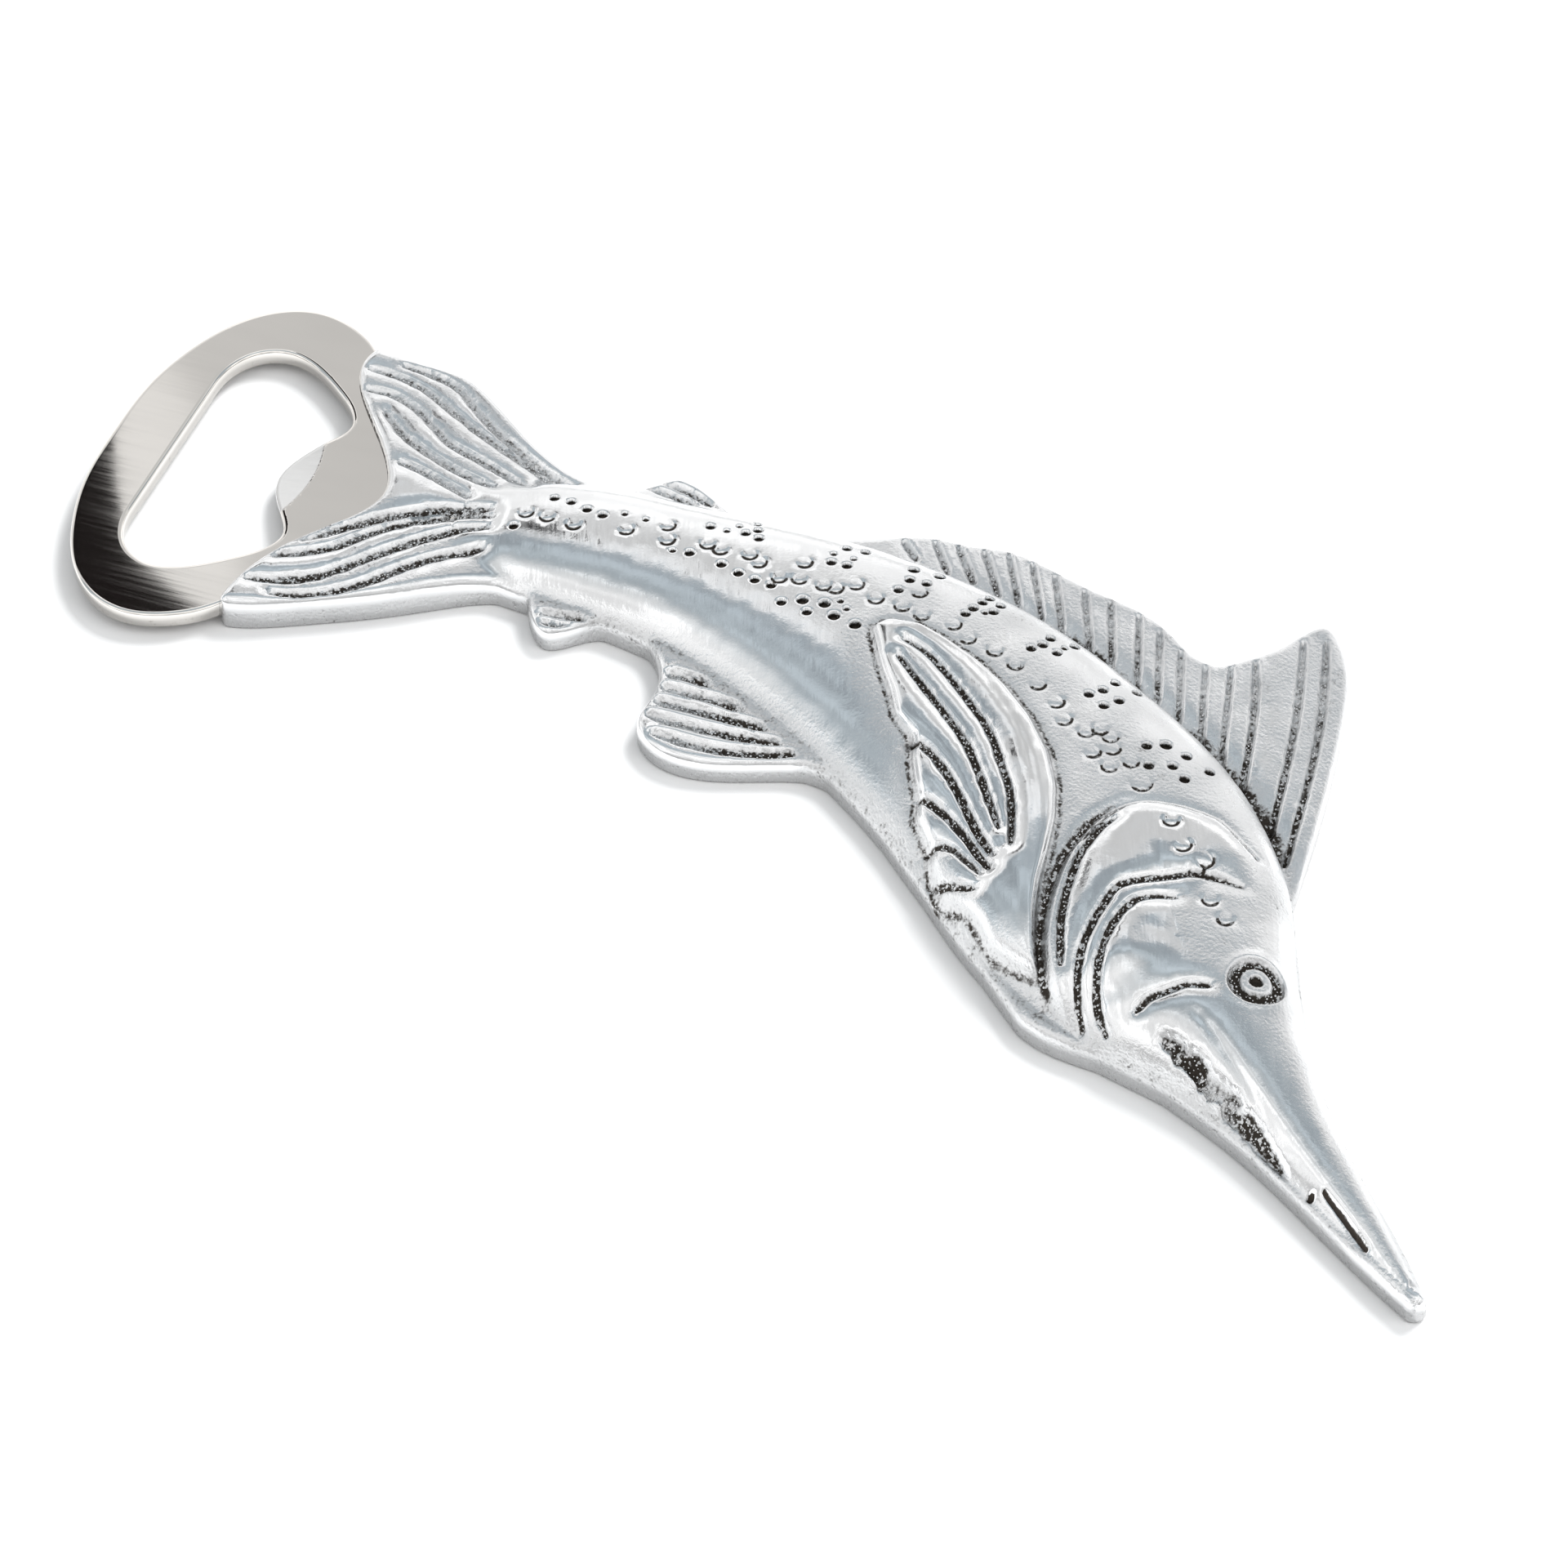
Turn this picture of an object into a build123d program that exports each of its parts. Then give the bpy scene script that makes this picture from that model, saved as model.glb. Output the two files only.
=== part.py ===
from build123d import *
import os
from math import hypot

# Marlin-shaped bottle opener: a flat-backed aluminium casting with a stamped steel
# cap lifter cast into its forked tail.
# Drawing datum: middle of the lifter's far edge, X along the lifter, Z up from the flat back.

# ---- overall sizes (mm) ----
tail_thickness = 4.6
fin_thickness = 3.6
body_scale = 1.0
plate_thickness = 2.0
ring_width = 56.2
hole_width = 39.5
rim_width = 7.9
tooth_reach = 21.6

# ---- relief and fits (mm) ----
pectoral_relief = 1.3
groove_depth = 0.7
ray_width = 0.9
gill_width = 1.1
mouth_width = 1.7
eye_width = 6.2
eye_boss_width = 3.0
pupil_width = 1.2
seam_gap = 0.05
tooth_land = 0.8
tooth_bevel_start = 25.6
anchor_width = 4.5
under = 2.0
over = 20.0

os.makedirs("parts", exist_ok=True)

# ---- cap lifter ----
half_ring = ring_width / 2
half_hole = hole_width / 2
plate_lift = (tail_thickness - plate_thickness) / 2
neck_end = 50.0
tail_end = 52.0
neck_half = 5.5
anchor_x = 41.5
lobe_tip = 0.836 * half_ring


with BuildSketch() as ring_hole:
    with BuildLine():
        Line((rim_width, 0), (rim_width, 0.6 * half_hole))
        Spline(
            (rim_width, 0.6 * half_hole),
            (8.7, 0.8 * half_hole),
            (10.8, 0.94 * half_hole),
            (14.1, half_hole),
            (17.8, 0.95 * half_hole),
            (22.4, 0.79 * half_hole),
            (25.8, 0.61 * half_hole),
            (26.4, 0.52 * half_hole),
            (25.1, 0.36 * half_hole),
            (22.8, 0.19 * half_hole),
            (tooth_reach, 0),
            tangents=[(0, 1), (0, -1)],
            tangent_scalars=[1, 1],
        )
        mirror(about=Plane.XZ)
    make_face()

# The plate's outline, and the same outline let out by the seam gap for the pocket in the tail.
plate_outlines = {}
for fit, gap in (("plate", 0.0), ("pocket", seam_gap)):
    with BuildSketch() as plate_outline:
        with BuildLine():
            Spline(
                (-gap, 0),
                (0.6 - gap, 0.36 * half_ring),
                (2.2 - gap, 0.57 * half_ring),
                (5.6, 0.81 * half_ring + gap),
                (10.3, 0.96 * half_ring + gap),
                (14.9, half_ring + gap),
                (21.0, 0.93 * half_ring + gap),
                (25.6, 0.77 * half_ring + gap),
                tangents=[(0, 1), (0.6, -0.8)],
            )
            Spline(
                (25.6, 0.77 * half_ring + gap),
                (29.5, 0.58 * half_ring + gap),
                (37.0, 0.33 * half_ring + gap),
                (neck_end + gap, neck_half + gap),
                tangents=[(0.6, -0.8), (1, 0)],
            )
            Line((neck_end + gap, neck_half + gap), (neck_end + gap, 0))
            mirror(about=Plane.XZ)
        make_face()
    plate_outlines[fit] = plate_outline.sketch

with BuildPart() as opener_plate:
    with BuildSketch(Plane.XY.offset(plate_lift)):
        add(plate_outlines["plate"])
        add(ring_hole.sketch, mode=Mode.SUBTRACT)
        with Locations((anchor_x, 0)):
            Circle(anchor_width / 2, mode=Mode.SUBTRACT)
    extrude(amount=plate_thickness)
    # ground bevel on the lifting tooth
    with BuildSketch(Plane.XZ):
        with BuildLine():
            Polyline(
                (tooth_bevel_start, plate_lift + plate_thickness),
                (tooth_reach - 1, plate_lift + tooth_land),
                (tooth_reach - 1, plate_lift + plate_thickness + 1),
                (tooth_bevel_start, plate_lift + plate_thickness + 1),
                close=True,
            )
        make_face()
    extrude(amount=0.33 * half_hole, both=True, mode=Mode.SUBTRACT)

with BuildPart() as tail_pocket:
    with BuildSketch(Plane.XY.offset(plate_lift - seam_gap)):
        add(plate_outlines["pocket"])
        with Locations((anchor_x, 0)):
            Circle(anchor_width / 2 - seam_gap, mode=Mode.SUBTRACT)
    extrude(amount=plate_thickness + 2 * seam_gap)

# ---- fish outline, seen from above ----
with BuildSketch() as fish_outline:
    with BuildLine():
        # upper tail lobe and peduncle
        Spline((24.1, lobe_tip), (30, 0.97 * lobe_tip), (36, 22.3), (42, 19.0), (48, 14.5), (54, 11.6), (60, 10.9))
        # second dorsal finlet
        Spline((60, 10.9), (63.2, 12.2), (67, 15.3), (70.5, 14.2), (75, 11.6))
        Line((75, 11.6), (86, 11.6))
        # low dorsal fin
        Spline((86, 11.6), (92, 13.6), (98, 15.9), (103, 16.2), (107, 16.8), (112, 15.9), (116, 14.6))
        Spline((116, 14.6), (121, 13.3), (126, 11.9), (129, 10.1), (132, 7.8), (135.5, 6.9))
        # tall front lobe of the dorsal fin
        Spline((135.5, 6.9), (138, 8.9), (141.5, 12.8), (145.2, 17.2), (149, 12.6), (151.4, 3), (153, -12), (153.6, -25))
        # brow and upper bill
        Spline((153.6, -25), (156.5, -33), (160.5, -43), (165, -51.3), (171.5, -60), (177.5, -67.3), (180.8, -72))
        ThreePointArc((180.8, -72), (181.1, -74.1), (179.2, -74.1))
        # lower bill, throat and belly
        Spline((179.2, -74.1), (173.5, -70.6), (165, -64.8), (157, -59.8), (150, -56.4), (143, -54), (136, -53.3), (130.5, -51.4))
        Spline((130.5, -51.4), (124, -45.5), (115, -37.4), (107, -30), (101, -25.2), (96.5, -24.2))
        # anal fin
        Spline((96.5, -24.2), (91, -26.1), (85.5, -27.8), (79.5, -27.2), (76.4, -24), (76.6, -19.5), (75, -14), (69, -10.8))
        # ventral finlet
        Spline((69, -10.8), (65.2, -11.8), (61.2, -14.4), (58.6, -12.2), (57.2, -8.9))
        # lower tail lobe
        Spline((57.2, -8.9), (52, -9.8), (46, -13.3), (40, -16.9), (33, -20.5), (28, -0.97 * lobe_tip), (25.5, -lobe_tip))
        ThreePointArc((25.5, -lobe_tip), (24.6, -0.99 * lobe_tip), (24.2, -0.95 * lobe_tip))
        # fork of the tail, lying on the plate
        Spline(
            (24.2, -0.95 * lobe_tip),
            (25.1, -0.76 * lobe_tip),
            (27.7, -12),
            (31.2, -7.3),
            (34.1, -3.2),
            (35, 0),
            (33.8, 4),
            (30.8, 8.6),
            (27.8, 12.4),
            (25, 16.2),
            (23.5, 0.85 * lobe_tip),
            (24.1, lobe_tip),
        )
    make_face()

# Body stations from tail to bill: back edge, belly edge, crown height, fullness of the back.
stations = [
    ((45, 7.4), (45, -7.2), 4.8, 2.5),
    ((56, 10.3), (55.5, -9.6), 6.5, 2.7),
    ((76, 10.9), (73.5, -12), 7.5, 3.0),
    ((96, 9.8), (88, -17.8), 8.4, 3.6),
    ((113, 5.8), (100, -25), 9.0, 4.0),
    ((129, -1.9), (112, -34.5), 9.5, 4.0),
    ((143.4, -12.2), (124, -45.6), 9.8, 4.0),
    ((153, -25), (138, -53), 10.0, 3.5),
    ((158, -38), (149.5, -56), 9.4, 2.6),
    ((165.2, -52.2), (160.8, -61.7), 7.2, 2.4),
    ((174, -63.8), (171.2, -68.6), 5.2, 2.3),
    ((179.8, -71.4), (178.6, -73.2), 3.6, 2.2),
]
belly_fullness = 2.5


def rise(share, fullness):
    """Height of a section, as a share of its crown, at a share of its half width."""
    return (1 - share**fullness) ** (1 / fullness)


# The same body is lofted three times: its surface, the floor of the grooves and
# the raised level of the pectoral fin.
levels = {}
for level, lift in (("surface", 0.0), ("floor", -groove_depth), ("raised", pectoral_relief)):
    with BuildPart() as body:
        for back, belly, crown, fullness in stations:
            width = hypot(back[0] - belly[0], back[1] - belly[1]) / 2
            across = ((back[0] - belly[0]) / 2 / width, (back[1] - belly[1]) / 2 / width, 0)
            middle = ((back[0] + belly[0]) / 2, (back[1] + belly[1]) / 2, 0)
            height = body_scale * crown + lift
            section = Plane(origin=middle, x_dir=across, z_dir=(across[1], -across[0], 0))
            with BuildSketch(section):
                with BuildLine():
                    Spline(
                        (-width, 0),
                        (-0.9 * width, rise(0.9, belly_fullness) * height),
                        (-0.55 * width, rise(0.55, belly_fullness) * height),
                        (0, height),
                        (0.55 * width, rise(0.55, fullness) * height),
                        (0.9 * width, rise(0.9, fullness) * height),
                        (width, 0),
                        tangents=[(0, 1), (0, -1)],
                    )
                    Polyline((width, 0), (width, -under), (-width, -under), (-width, 0))
                make_face()
        loft()
    levels[level] = body.part

# ---- groove paths, seen from above ----
tail_rays = [
    [(29.5, 21.0), (36.5, 19.4), (44, 14.0), (50, 11.0), (55, 9.6)],
    [(25.4, 19.4), (33, 18.0), (41, 13.6), (47, 10.9), (52, 8.9)],
    [(26.4, 16.2), (33, 14.6), (39, 10.6), (45, 8.3), (50, 6.9)],
    [(30.4, 12.4), (36, 8.4), (41, 6.6), (46, 5.2)],
    [(35.6, 5.2), (40, 4.2), (44.5, 2.9)],
    [(29.2, -11.2), (34, -7.0), (40, -2.3), (44.5, 0.1), (48.5, 1.0)],
    [(27.2, -14.8), (33, -11.4), (39, -5.2), (44, -1.9), (49, -0.6)],
    [(26.4, -19.0), (33, -16.2), (39, -10.3), (44, -5.1), (49, -2.6)],
    [(30.5, -20.0), (36.5, -17.4), (42, -12.2), (49.5, -5.8)],
]
fin_rays = [
    # second dorsal finlet
    [(64.4, 12.4), (67.4, 12.0), (70.0, 11.7)],
    [(65.4, 13.6), (68.8, 13.0), (71.6, 12.1)],
    # ventral finlet
    [(60.0, -11.9), (62.4, -12.0), (64.6, -11.6)],
    [(60.6, -13.3), (62.8, -13.0)],
    # anal fin
    [(77.2, -16.2), (79.6, -16.2), (81.6, -16.4)],
    [(77.6, -18.3), (82, -18.3), (86.4, -18.7)],
    [(77.6, -20.5), (84, -20.4), (90, -20.6)],
    [(77.6, -22.8), (85, -22.8), (92.4, -22.2)],
    [(79.4, -25.3), (87, -25.3), (94.4, -23.2)],
]
dorsal_rays = [
    [(95.0, 14.0), (97.6, 11.2)],
    [(98.6, 15.0), (101.6, 10.6)],
    [(101.4, 15.2), (105.0, 10.0)],
    [(104.4, 15.6), (108.4, 9.0)],
    [(107.4, 15.8), (111.2, 8.0)],
    [(110.4, 15.4), (114.2, 7.2)],
    [(113.4, 14.6), (117.0, 6.0)],
    [(117.4, 13.4), (120.8, 4.4)],
    [(120.8, 12.6), (124.0, 2.8)],
    [(124.6, 11.4), (127.6, 0.8)],
    [(127.6, 9.8), (130.6, -1.2)],
    [(130.8, 7.6), (133.8, -3.4)],
    [(134.2, 6.0), (137.2, -6.4)],
    [(137.0, 6.8), (140.4, -9.2)],
]
lobe_rays = [
    [(139.4, 8.6), (141.6, 0), (143.6, -12.4)],
    [(143.6, 13.6), (146.4, 0), (148.4, -17.4)],
    [(145.9, 14.6), (149.0, 0), (150.9, -20.0)],
]
gill_arcs = [
    [(148.4, -24.4), (143, -22.8), (137.5, -22.8), (133.4, -25.2), (131.0, -30), (130.2, -37), (131.0, -43.5), (133.0, -49)],
    [(133.4, -28.6), (131.9, -34), (132.0, -40), (133.6, -46.5)],
    [(148.4, -31.6), (142.5, -32.9), (138, -36.4), (135.7, -42), (136.2, -47.5), (138.4, -52)],
    [(142, -36), (139, -39.4), (138.0, -43.5), (138.6, -48), (140.6, -51.8)],
    [(143.6, -50.2), (146.4, -47.6), (150, -46.8)],
]
mouth_line = [(147.2, -52.6), (151, -54.2), (156, -57.4), (160.6, -61.2), (164.6, -64.4)]
feather_grooves = [
    [(104.6, -8.6), (112, -14.4), (118.2, -22.4), (123.6, -33.4)],
    [(101.6, -10.4), (109, -17.8), (116, -26.4), (122.6, -36.2)],
    [(107.4, -21.6), (113.6, -27.8), (120.6, -36.8)],
    [(111.6, -30.0), (115.8, -33.6), (120.0, -37.8)],
]
eye_place = (154.5, -43.8)

# ---- raised pectoral fin ----
with BuildPart() as pectoral_fin:
    with BuildSketch(Plane.XY.offset(fin_thickness / 2)):
        with BuildLine():
            Spline(
                (98.4, -8.2),
                (101.4, -5.7),
                (107, -7.1),
                (115, -12.9),
                (122, -20.5),
                (126.6, -29.4),
                (129, -39.6),
                tangents=[(0.1, 1), (0.1, -1)],
            )
            Polyline((129, -39.6), (132.4, -49.2), (127.6, -47.4), (122.6, -40))
            Spline((122.6, -40), (116, -37.2), (111.2, -30.6))
            Spline((111.2, -30.6), (107.8, -25.4), (106.4, -21.2))
            Spline((106.4, -21.2), (101.6, -14.8), (98.4, -8.2))
        make_face()
    extrude(amount=over)
    with BuildSketch(Plane.XY.offset(fin_thickness)):
        for path in feather_grooves:
            with BuildLine():
                Spline(*path)
            trace(line_width=ray_width)
    extrude(amount=over, mode=Mode.SUBTRACT)
    add(levels["raised"], mode=Mode.INTERSECT)

# ---- ray grooves in the flat tail and fins ----
with BuildPart() as ray_cut:
    with BuildSketch(Plane.XY.offset(tail_thickness - groove_depth)):
        for path in tail_rays:
            with BuildLine():
                Spline(*path)
            trace(line_width=ray_width)
    extrude(amount=over)
    with BuildSketch(Plane.XY.offset(fin_thickness - groove_depth)):
        for path in fin_rays + dorsal_rays + lobe_rays:
            with BuildLine():
                Spline(*path)
            trace(line_width=ray_width)
    extrude(amount=over)

# ---- gill arcs, mouth and eye, sunk one groove depth into the domed body ----
with BuildPart() as head_cut:
    with BuildSketch(Plane.XY.offset(1)):
        for path in gill_arcs:
            with BuildLine():
                Spline(*path)
            trace(line_width=gill_width)
        with BuildLine():
            Spline(*mouth_line)
        trace(line_width=mouth_width)
        with Locations(eye_place):
            Circle(eye_width / 2)
            Circle(eye_boss_width / 2, mode=Mode.SUBTRACT)
            Circle(pupil_width / 2)
    extrude(amount=over)
    add(levels["floor"], mode=Mode.SUBTRACT)

# ---- the casting ----
with BuildPart() as fish_handle:
    with BuildSketch(Plane.XY.offset(-under)):
        add(fish_outline.sketch)
    extrude(amount=under + fin_thickness)
    with BuildSketch(Plane.XY.offset(-under)):
        add(fish_outline.sketch)
        with Locations((0, 0)):
            Rectangle(tail_end, 80, align=(Align.MIN, Align.CENTER), mode=Mode.INTERSECT)
    extrude(amount=under + tail_thickness)
    add(levels["surface"])
    split(bisect_by=Plane.XY, keep=Keep.TOP)
    add(pectoral_fin.part)
    add(head_cut.part, mode=Mode.SUBTRACT)
    add(ray_cut.part, mode=Mode.SUBTRACT)
    add(tail_pocket.part, mode=Mode.SUBTRACT)

# ---- shift so that the origin is under the middle of the whole opener ----
ring_box = opener_plate.part.bounding_box()
fish_box = fish_handle.part.bounding_box()
middle_x = (min(ring_box.min.X, fish_box.min.X) + max(ring_box.max.X, fish_box.max.X)) / 2
middle_y = (min(ring_box.min.Y, fish_box.min.Y) + max(ring_box.max.Y, fish_box.max.Y)) / 2
to_origin = Location((-middle_x, -middle_y, 0))

with BuildPart() as opener_plate_placed:
    add(opener_plate.part.moved(to_origin))

with BuildPart() as fish_handle_placed:
    add(fish_handle.part.moved(to_origin))

opener_plate_placed.part.label = "opener plate"
export_step(opener_plate_placed.part, "parts/opener_plate.step")

fish_handle_placed.part.label = "fish handle"
export_step(fish_handle_placed.part, "parts/fish_handle.step")
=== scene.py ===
"""Billfish bottle opener: a flat-backed aluminium casting with a stamped steel cap lifter in its tail.

Sizes are in drawing millimetres: x runs from the middle of the lifter's far edge towards the bill,
y towards the fish's back and z up from the flat back. Meshes are built there and written in metres.
"""

import logging
import math
from collections.abc import Callable, Iterable, Sequence
from dataclasses import dataclass, field
from enum import Enum

import bpy
import numpy as np
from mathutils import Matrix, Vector
from mathutils.geometry import delaunay_2d_cdt


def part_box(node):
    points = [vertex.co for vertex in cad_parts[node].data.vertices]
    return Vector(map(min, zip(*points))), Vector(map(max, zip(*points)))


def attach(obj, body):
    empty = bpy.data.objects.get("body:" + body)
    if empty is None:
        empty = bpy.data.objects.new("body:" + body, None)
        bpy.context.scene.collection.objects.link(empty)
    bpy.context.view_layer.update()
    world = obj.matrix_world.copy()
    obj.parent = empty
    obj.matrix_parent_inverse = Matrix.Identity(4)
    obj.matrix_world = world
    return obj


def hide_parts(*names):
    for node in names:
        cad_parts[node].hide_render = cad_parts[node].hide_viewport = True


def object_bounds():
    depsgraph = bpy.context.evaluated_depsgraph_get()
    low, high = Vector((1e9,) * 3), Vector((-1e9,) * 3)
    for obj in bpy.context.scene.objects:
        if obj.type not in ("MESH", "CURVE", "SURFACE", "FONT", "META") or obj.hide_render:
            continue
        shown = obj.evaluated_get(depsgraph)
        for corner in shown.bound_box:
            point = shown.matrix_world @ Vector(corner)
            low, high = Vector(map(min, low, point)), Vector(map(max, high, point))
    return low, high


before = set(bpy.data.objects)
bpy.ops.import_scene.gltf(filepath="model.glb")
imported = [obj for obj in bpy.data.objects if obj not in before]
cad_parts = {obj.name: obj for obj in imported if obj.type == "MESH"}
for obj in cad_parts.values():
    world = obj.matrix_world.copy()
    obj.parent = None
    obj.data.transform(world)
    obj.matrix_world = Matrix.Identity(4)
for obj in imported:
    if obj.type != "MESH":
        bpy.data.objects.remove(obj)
cad_low, cad_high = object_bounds()

Array = np.ndarray
Path = tuple[tuple[float, float], ...]
log = logging.getLogger("opener")

MM = 0.001
WELD = 1e-6
INSIDE = 1  # the triangulation's output kind that keeps to the outer loop
RIM_REACH = 3.0  # millimetres from a rim past which its distance doesn't matter
GROOVE_REACH = 2.4  # the same for a groove's middle line


# ---------------------------------------------------------------- drawing frame


@dataclass(frozen=True)
class Drawing:
    """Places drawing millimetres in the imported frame.

    Args:
        x: metres from the frame's origin to the lifter's far edge.
        y: metres from the frame's origin to the lifter's centre line.
    """

    x: float
    y: float

    @classmethod
    def from_plate(cls, node: str) -> "Drawing":
        """Reads the datum from the plate's own box.

        Args:
            node: name of the cap lifter's CAD node.

        Returns:
            The drawing frame.
        """
        low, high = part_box(node)
        return cls(low.x, (low.y + high.y) / 2)

    def to_frame(self, points: Array) -> Array:
        """Turns drawing millimetres into frame metres.

        Args:
            points: n rows of x, y, z in millimetres.

        Returns:
            The same points in metres.
        """
        return np.asarray(points, float) * MM + np.array([self.x, self.y, 0.0])

    def to_drawing(self, points: Array) -> Array:
        """Turns frame metres into drawing millimetres.

        Args:
            points: n rows of x, y, z in metres.

        Returns:
            The same points in millimetres.
        """
        return (np.asarray(points, float) - np.array([self.x, self.y, 0.0])) / MM


# ---------------------------------------------------------------- curves, loops and noise


def ramp(value: Array, start: float | Array, end: float | Array) -> Array:
    """Smooth step from 0 at start to 1 at end, either way round.

    Args:
        value: numbers to grade.
        start: where the step is 0.
        end: where the step is 1.

    Returns:
        Shares from 0 to 1.
    """
    t = np.clip((value - start) / (end - start), 0, 1)
    return t * t * (3 - 2 * t)


def soft_max(a: Array, b: Array, width: float) -> Array:
    """The larger of two heights, blended where they are within width of each other."""
    share = np.clip(0.5 + 0.5 * (a - b) / width, 0, 1)
    return b + (a - b) * share + width * share * (1 - share)


def smooth_path(points: Sequence[Sequence[float]], spacing: float) -> Array:
    """Runs a smooth curve through points and divides it evenly.

    Args:
        points: rows of coordinates of any width.
        spacing: distance between the points that come back.

    Returns:
        Rows along the curve, its two ends included.
    """
    p = np.asarray(points, float)
    step = np.sqrt(np.linalg.norm(np.diff(p[:, :2], axis=0), axis=1))
    slope = np.diff(p, axis=0) / step[:, None]
    tangent = np.empty_like(p)
    share = (step[:-1] / (step[:-1] + step[1:]))[:, None] if len(p) > 2 else np.zeros((0, 1))
    tangent[1:-1] = slope[:-1] * (1 - share) + slope[1:] * share
    tangent[0] = 1.5 * slope[0] - 0.5 * tangent[1] if len(p) > 2 else slope[0]
    tangent[-1] = 1.5 * slope[-1] - 0.5 * tangent[-2] if len(p) > 2 else slope[-1]
    t = np.linspace(0, 1, 24, endpoint=False)[:, None]
    pieces = []
    for i, h in enumerate(step):
        pieces.append(
            (1 + 2 * t) * (1 - t) ** 2 * p[i]
            + t * (1 - t) ** 2 * h * tangent[i]
            + t * t * (3 - 2 * t) * p[i + 1]
            + t * t * (t - 1) * h * tangent[i + 1]
        )
    curve = np.vstack([*pieces, p[-1:]])
    return evenly(curve, spacing)


def evenly(curve: Array, spacing: float) -> Array:
    """Divides a polyline evenly.

    Args:
        curve: rows of coordinates.
        spacing: distance between the points that come back.

    Returns:
        Rows along the polyline, its two ends included.
    """
    run = np.r_[0, np.cumsum(np.linalg.norm(np.diff(curve[:, :2], axis=0), axis=1))]
    at = np.linspace(0, run[-1], max(2, int(round(run[-1] / spacing)) + 1))
    return np.stack([np.interp(at, run, curve[:, k]) for k in range(curve.shape[1])], -1)


def soften_loop(loop: Array, spacing: float, softness: float) -> Array:
    """Rounds the corners of a closed loop and divides it evenly.

    Args:
        loop: plan points, the first not repeated.
        spacing: distance between the points that come back.
        softness: spread of the rounding, in millimetres.

    Returns:
        The new loop, the first point not repeated.
    """
    fine = evenly(np.vstack([loop, loop[:1]]), 0.08)[:-1]
    wave = np.fft.rfftfreq(len(fine), 0.08)
    damp = np.exp(-2 * (math.pi * wave * softness) ** 2)[:, None]
    soft = np.fft.irfft(np.fft.rfft(fine, axis=0) * damp, len(fine), axis=0)
    return evenly(np.vstack([soft, soft[:1]]), spacing)[:-1]


def left_normals(line: Array, closed: bool) -> Array:
    """Unit normals on the left of a plan line.

    Args:
        line: plan points.
        closed: whether the last point joins the first.

    Returns:
        One normal for each point.
    """
    if closed:
        along = np.roll(line, -1, axis=0) - np.roll(line, 1, axis=0)
    else:
        along = np.gradient(line, axis=0)
    along /= np.linalg.norm(along, axis=1, keepdims=True)
    return np.stack([-along[:, 1], along[:, 0]], -1)


def measure_to(points: Array, line: Array, reach: float) -> tuple[Array, Array]:
    """Distance from points to a polyline, and how far along it the nearest place is.

    Args:
        points: plan points.
        line: plan points of the polyline.
        reach: distance past which the answer isn't needed, and is given as reach.

    Returns:
        Signed distances, positive on the line's left, and places along it from 0 to 1.
    """
    best = np.full(len(points), reach, float)
    side = np.ones(len(points))
    along = np.zeros(len(points))
    run = np.r_[0, np.cumsum(np.linalg.norm(np.diff(line, axis=0), axis=1))]
    chunk = 12
    for first in range(0, len(line) - 1, chunk):
        part = line[first : first + chunk + 1]
        low, high = part.min(0) - reach, part.max(0) + reach
        near = np.flatnonzero(((points > low) & (points < high)).all(1))
        if not len(near):
            continue
        p = points[near]
        for i in range(len(part) - 1):
            a, d = part[i], part[i + 1] - part[i]
            t = np.clip(((p - a) @ d) / (d @ d), 0, 1)
            gap = p - a - t[:, None] * d
            far = np.hypot(gap[:, 0], gap[:, 1])
            closer = far < best[near]
            if closer.any():
                hit = near[closer]
                best[hit] = far[closer]
                turn = d[0] * (p[:, 1] - a[1]) - d[1] * (p[:, 0] - a[0])
                side[hit] = np.where(turn[closer] < 0, -1, 1)
                along[hit] = (run[first + i] + t[closer] * math.sqrt(d @ d)) / run[-1]
    return best * side, along


def inside(points: Array, loop: Array) -> Array:
    """Says which plan points lie inside a closed loop.

    Args:
        points: plan points.
        loop: plan points, the first not repeated.

    Returns:
        One truth value for each point.
    """
    found = np.zeros(len(points), bool)
    x, y = points[:, 0], points[:, 1]
    for a, b in zip(loop, np.roll(loop, -1, axis=0)):
        rows = np.flatnonzero((y > min(a[1], b[1])) & (y <= max(a[1], b[1])))
        if len(rows):
            cross = a[0] + (y[rows] - a[1]) * (b[0] - a[0]) / (b[1] - a[1])
            found[rows] ^= x[rows] < cross
    return found


def hex_grid(low: Array, high: Array, spacing: float) -> Array:
    """Plan points in rows, every other row shifted by half a step.

    Args:
        low: lowest corner.
        high: highest corner.
        spacing: distance between neighbours.

    Returns:
        The plan points.
    """
    rise = spacing * math.sqrt(3) / 2
    rows = np.arange(low[1], high[1], rise)
    columns = np.arange(low[0], high[0], spacing)
    x, y = np.meshgrid(columns, rows)
    x = x + (np.arange(len(rows)) % 2)[:, None] * spacing / 2
    return np.stack([x.ravel(), y.ravel()], -1)


def cell_keys(points: Array, spacing: float) -> Array:
    """Numbers the square that each plan point lies in.

    Args:
        points: plan points.
        spacing: side of the squares.

    Returns:
        One whole number for each point.
    """
    cell = np.floor(points / spacing).astype(np.int64)
    return cell[:, 0] * 1_000_003 + cell[:, 1]


def thin_out(points: Array, spacing: float) -> Array:
    """Drops points that share a small square with an earlier one.

    Args:
        points: plan points, the ones to keep first.
        spacing: side of the squares.

    Returns:
        The points that stay, in their order.
    """
    first = np.unique(cell_keys(points, spacing), return_index=True)[1]
    return points[np.sort(first)]


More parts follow.
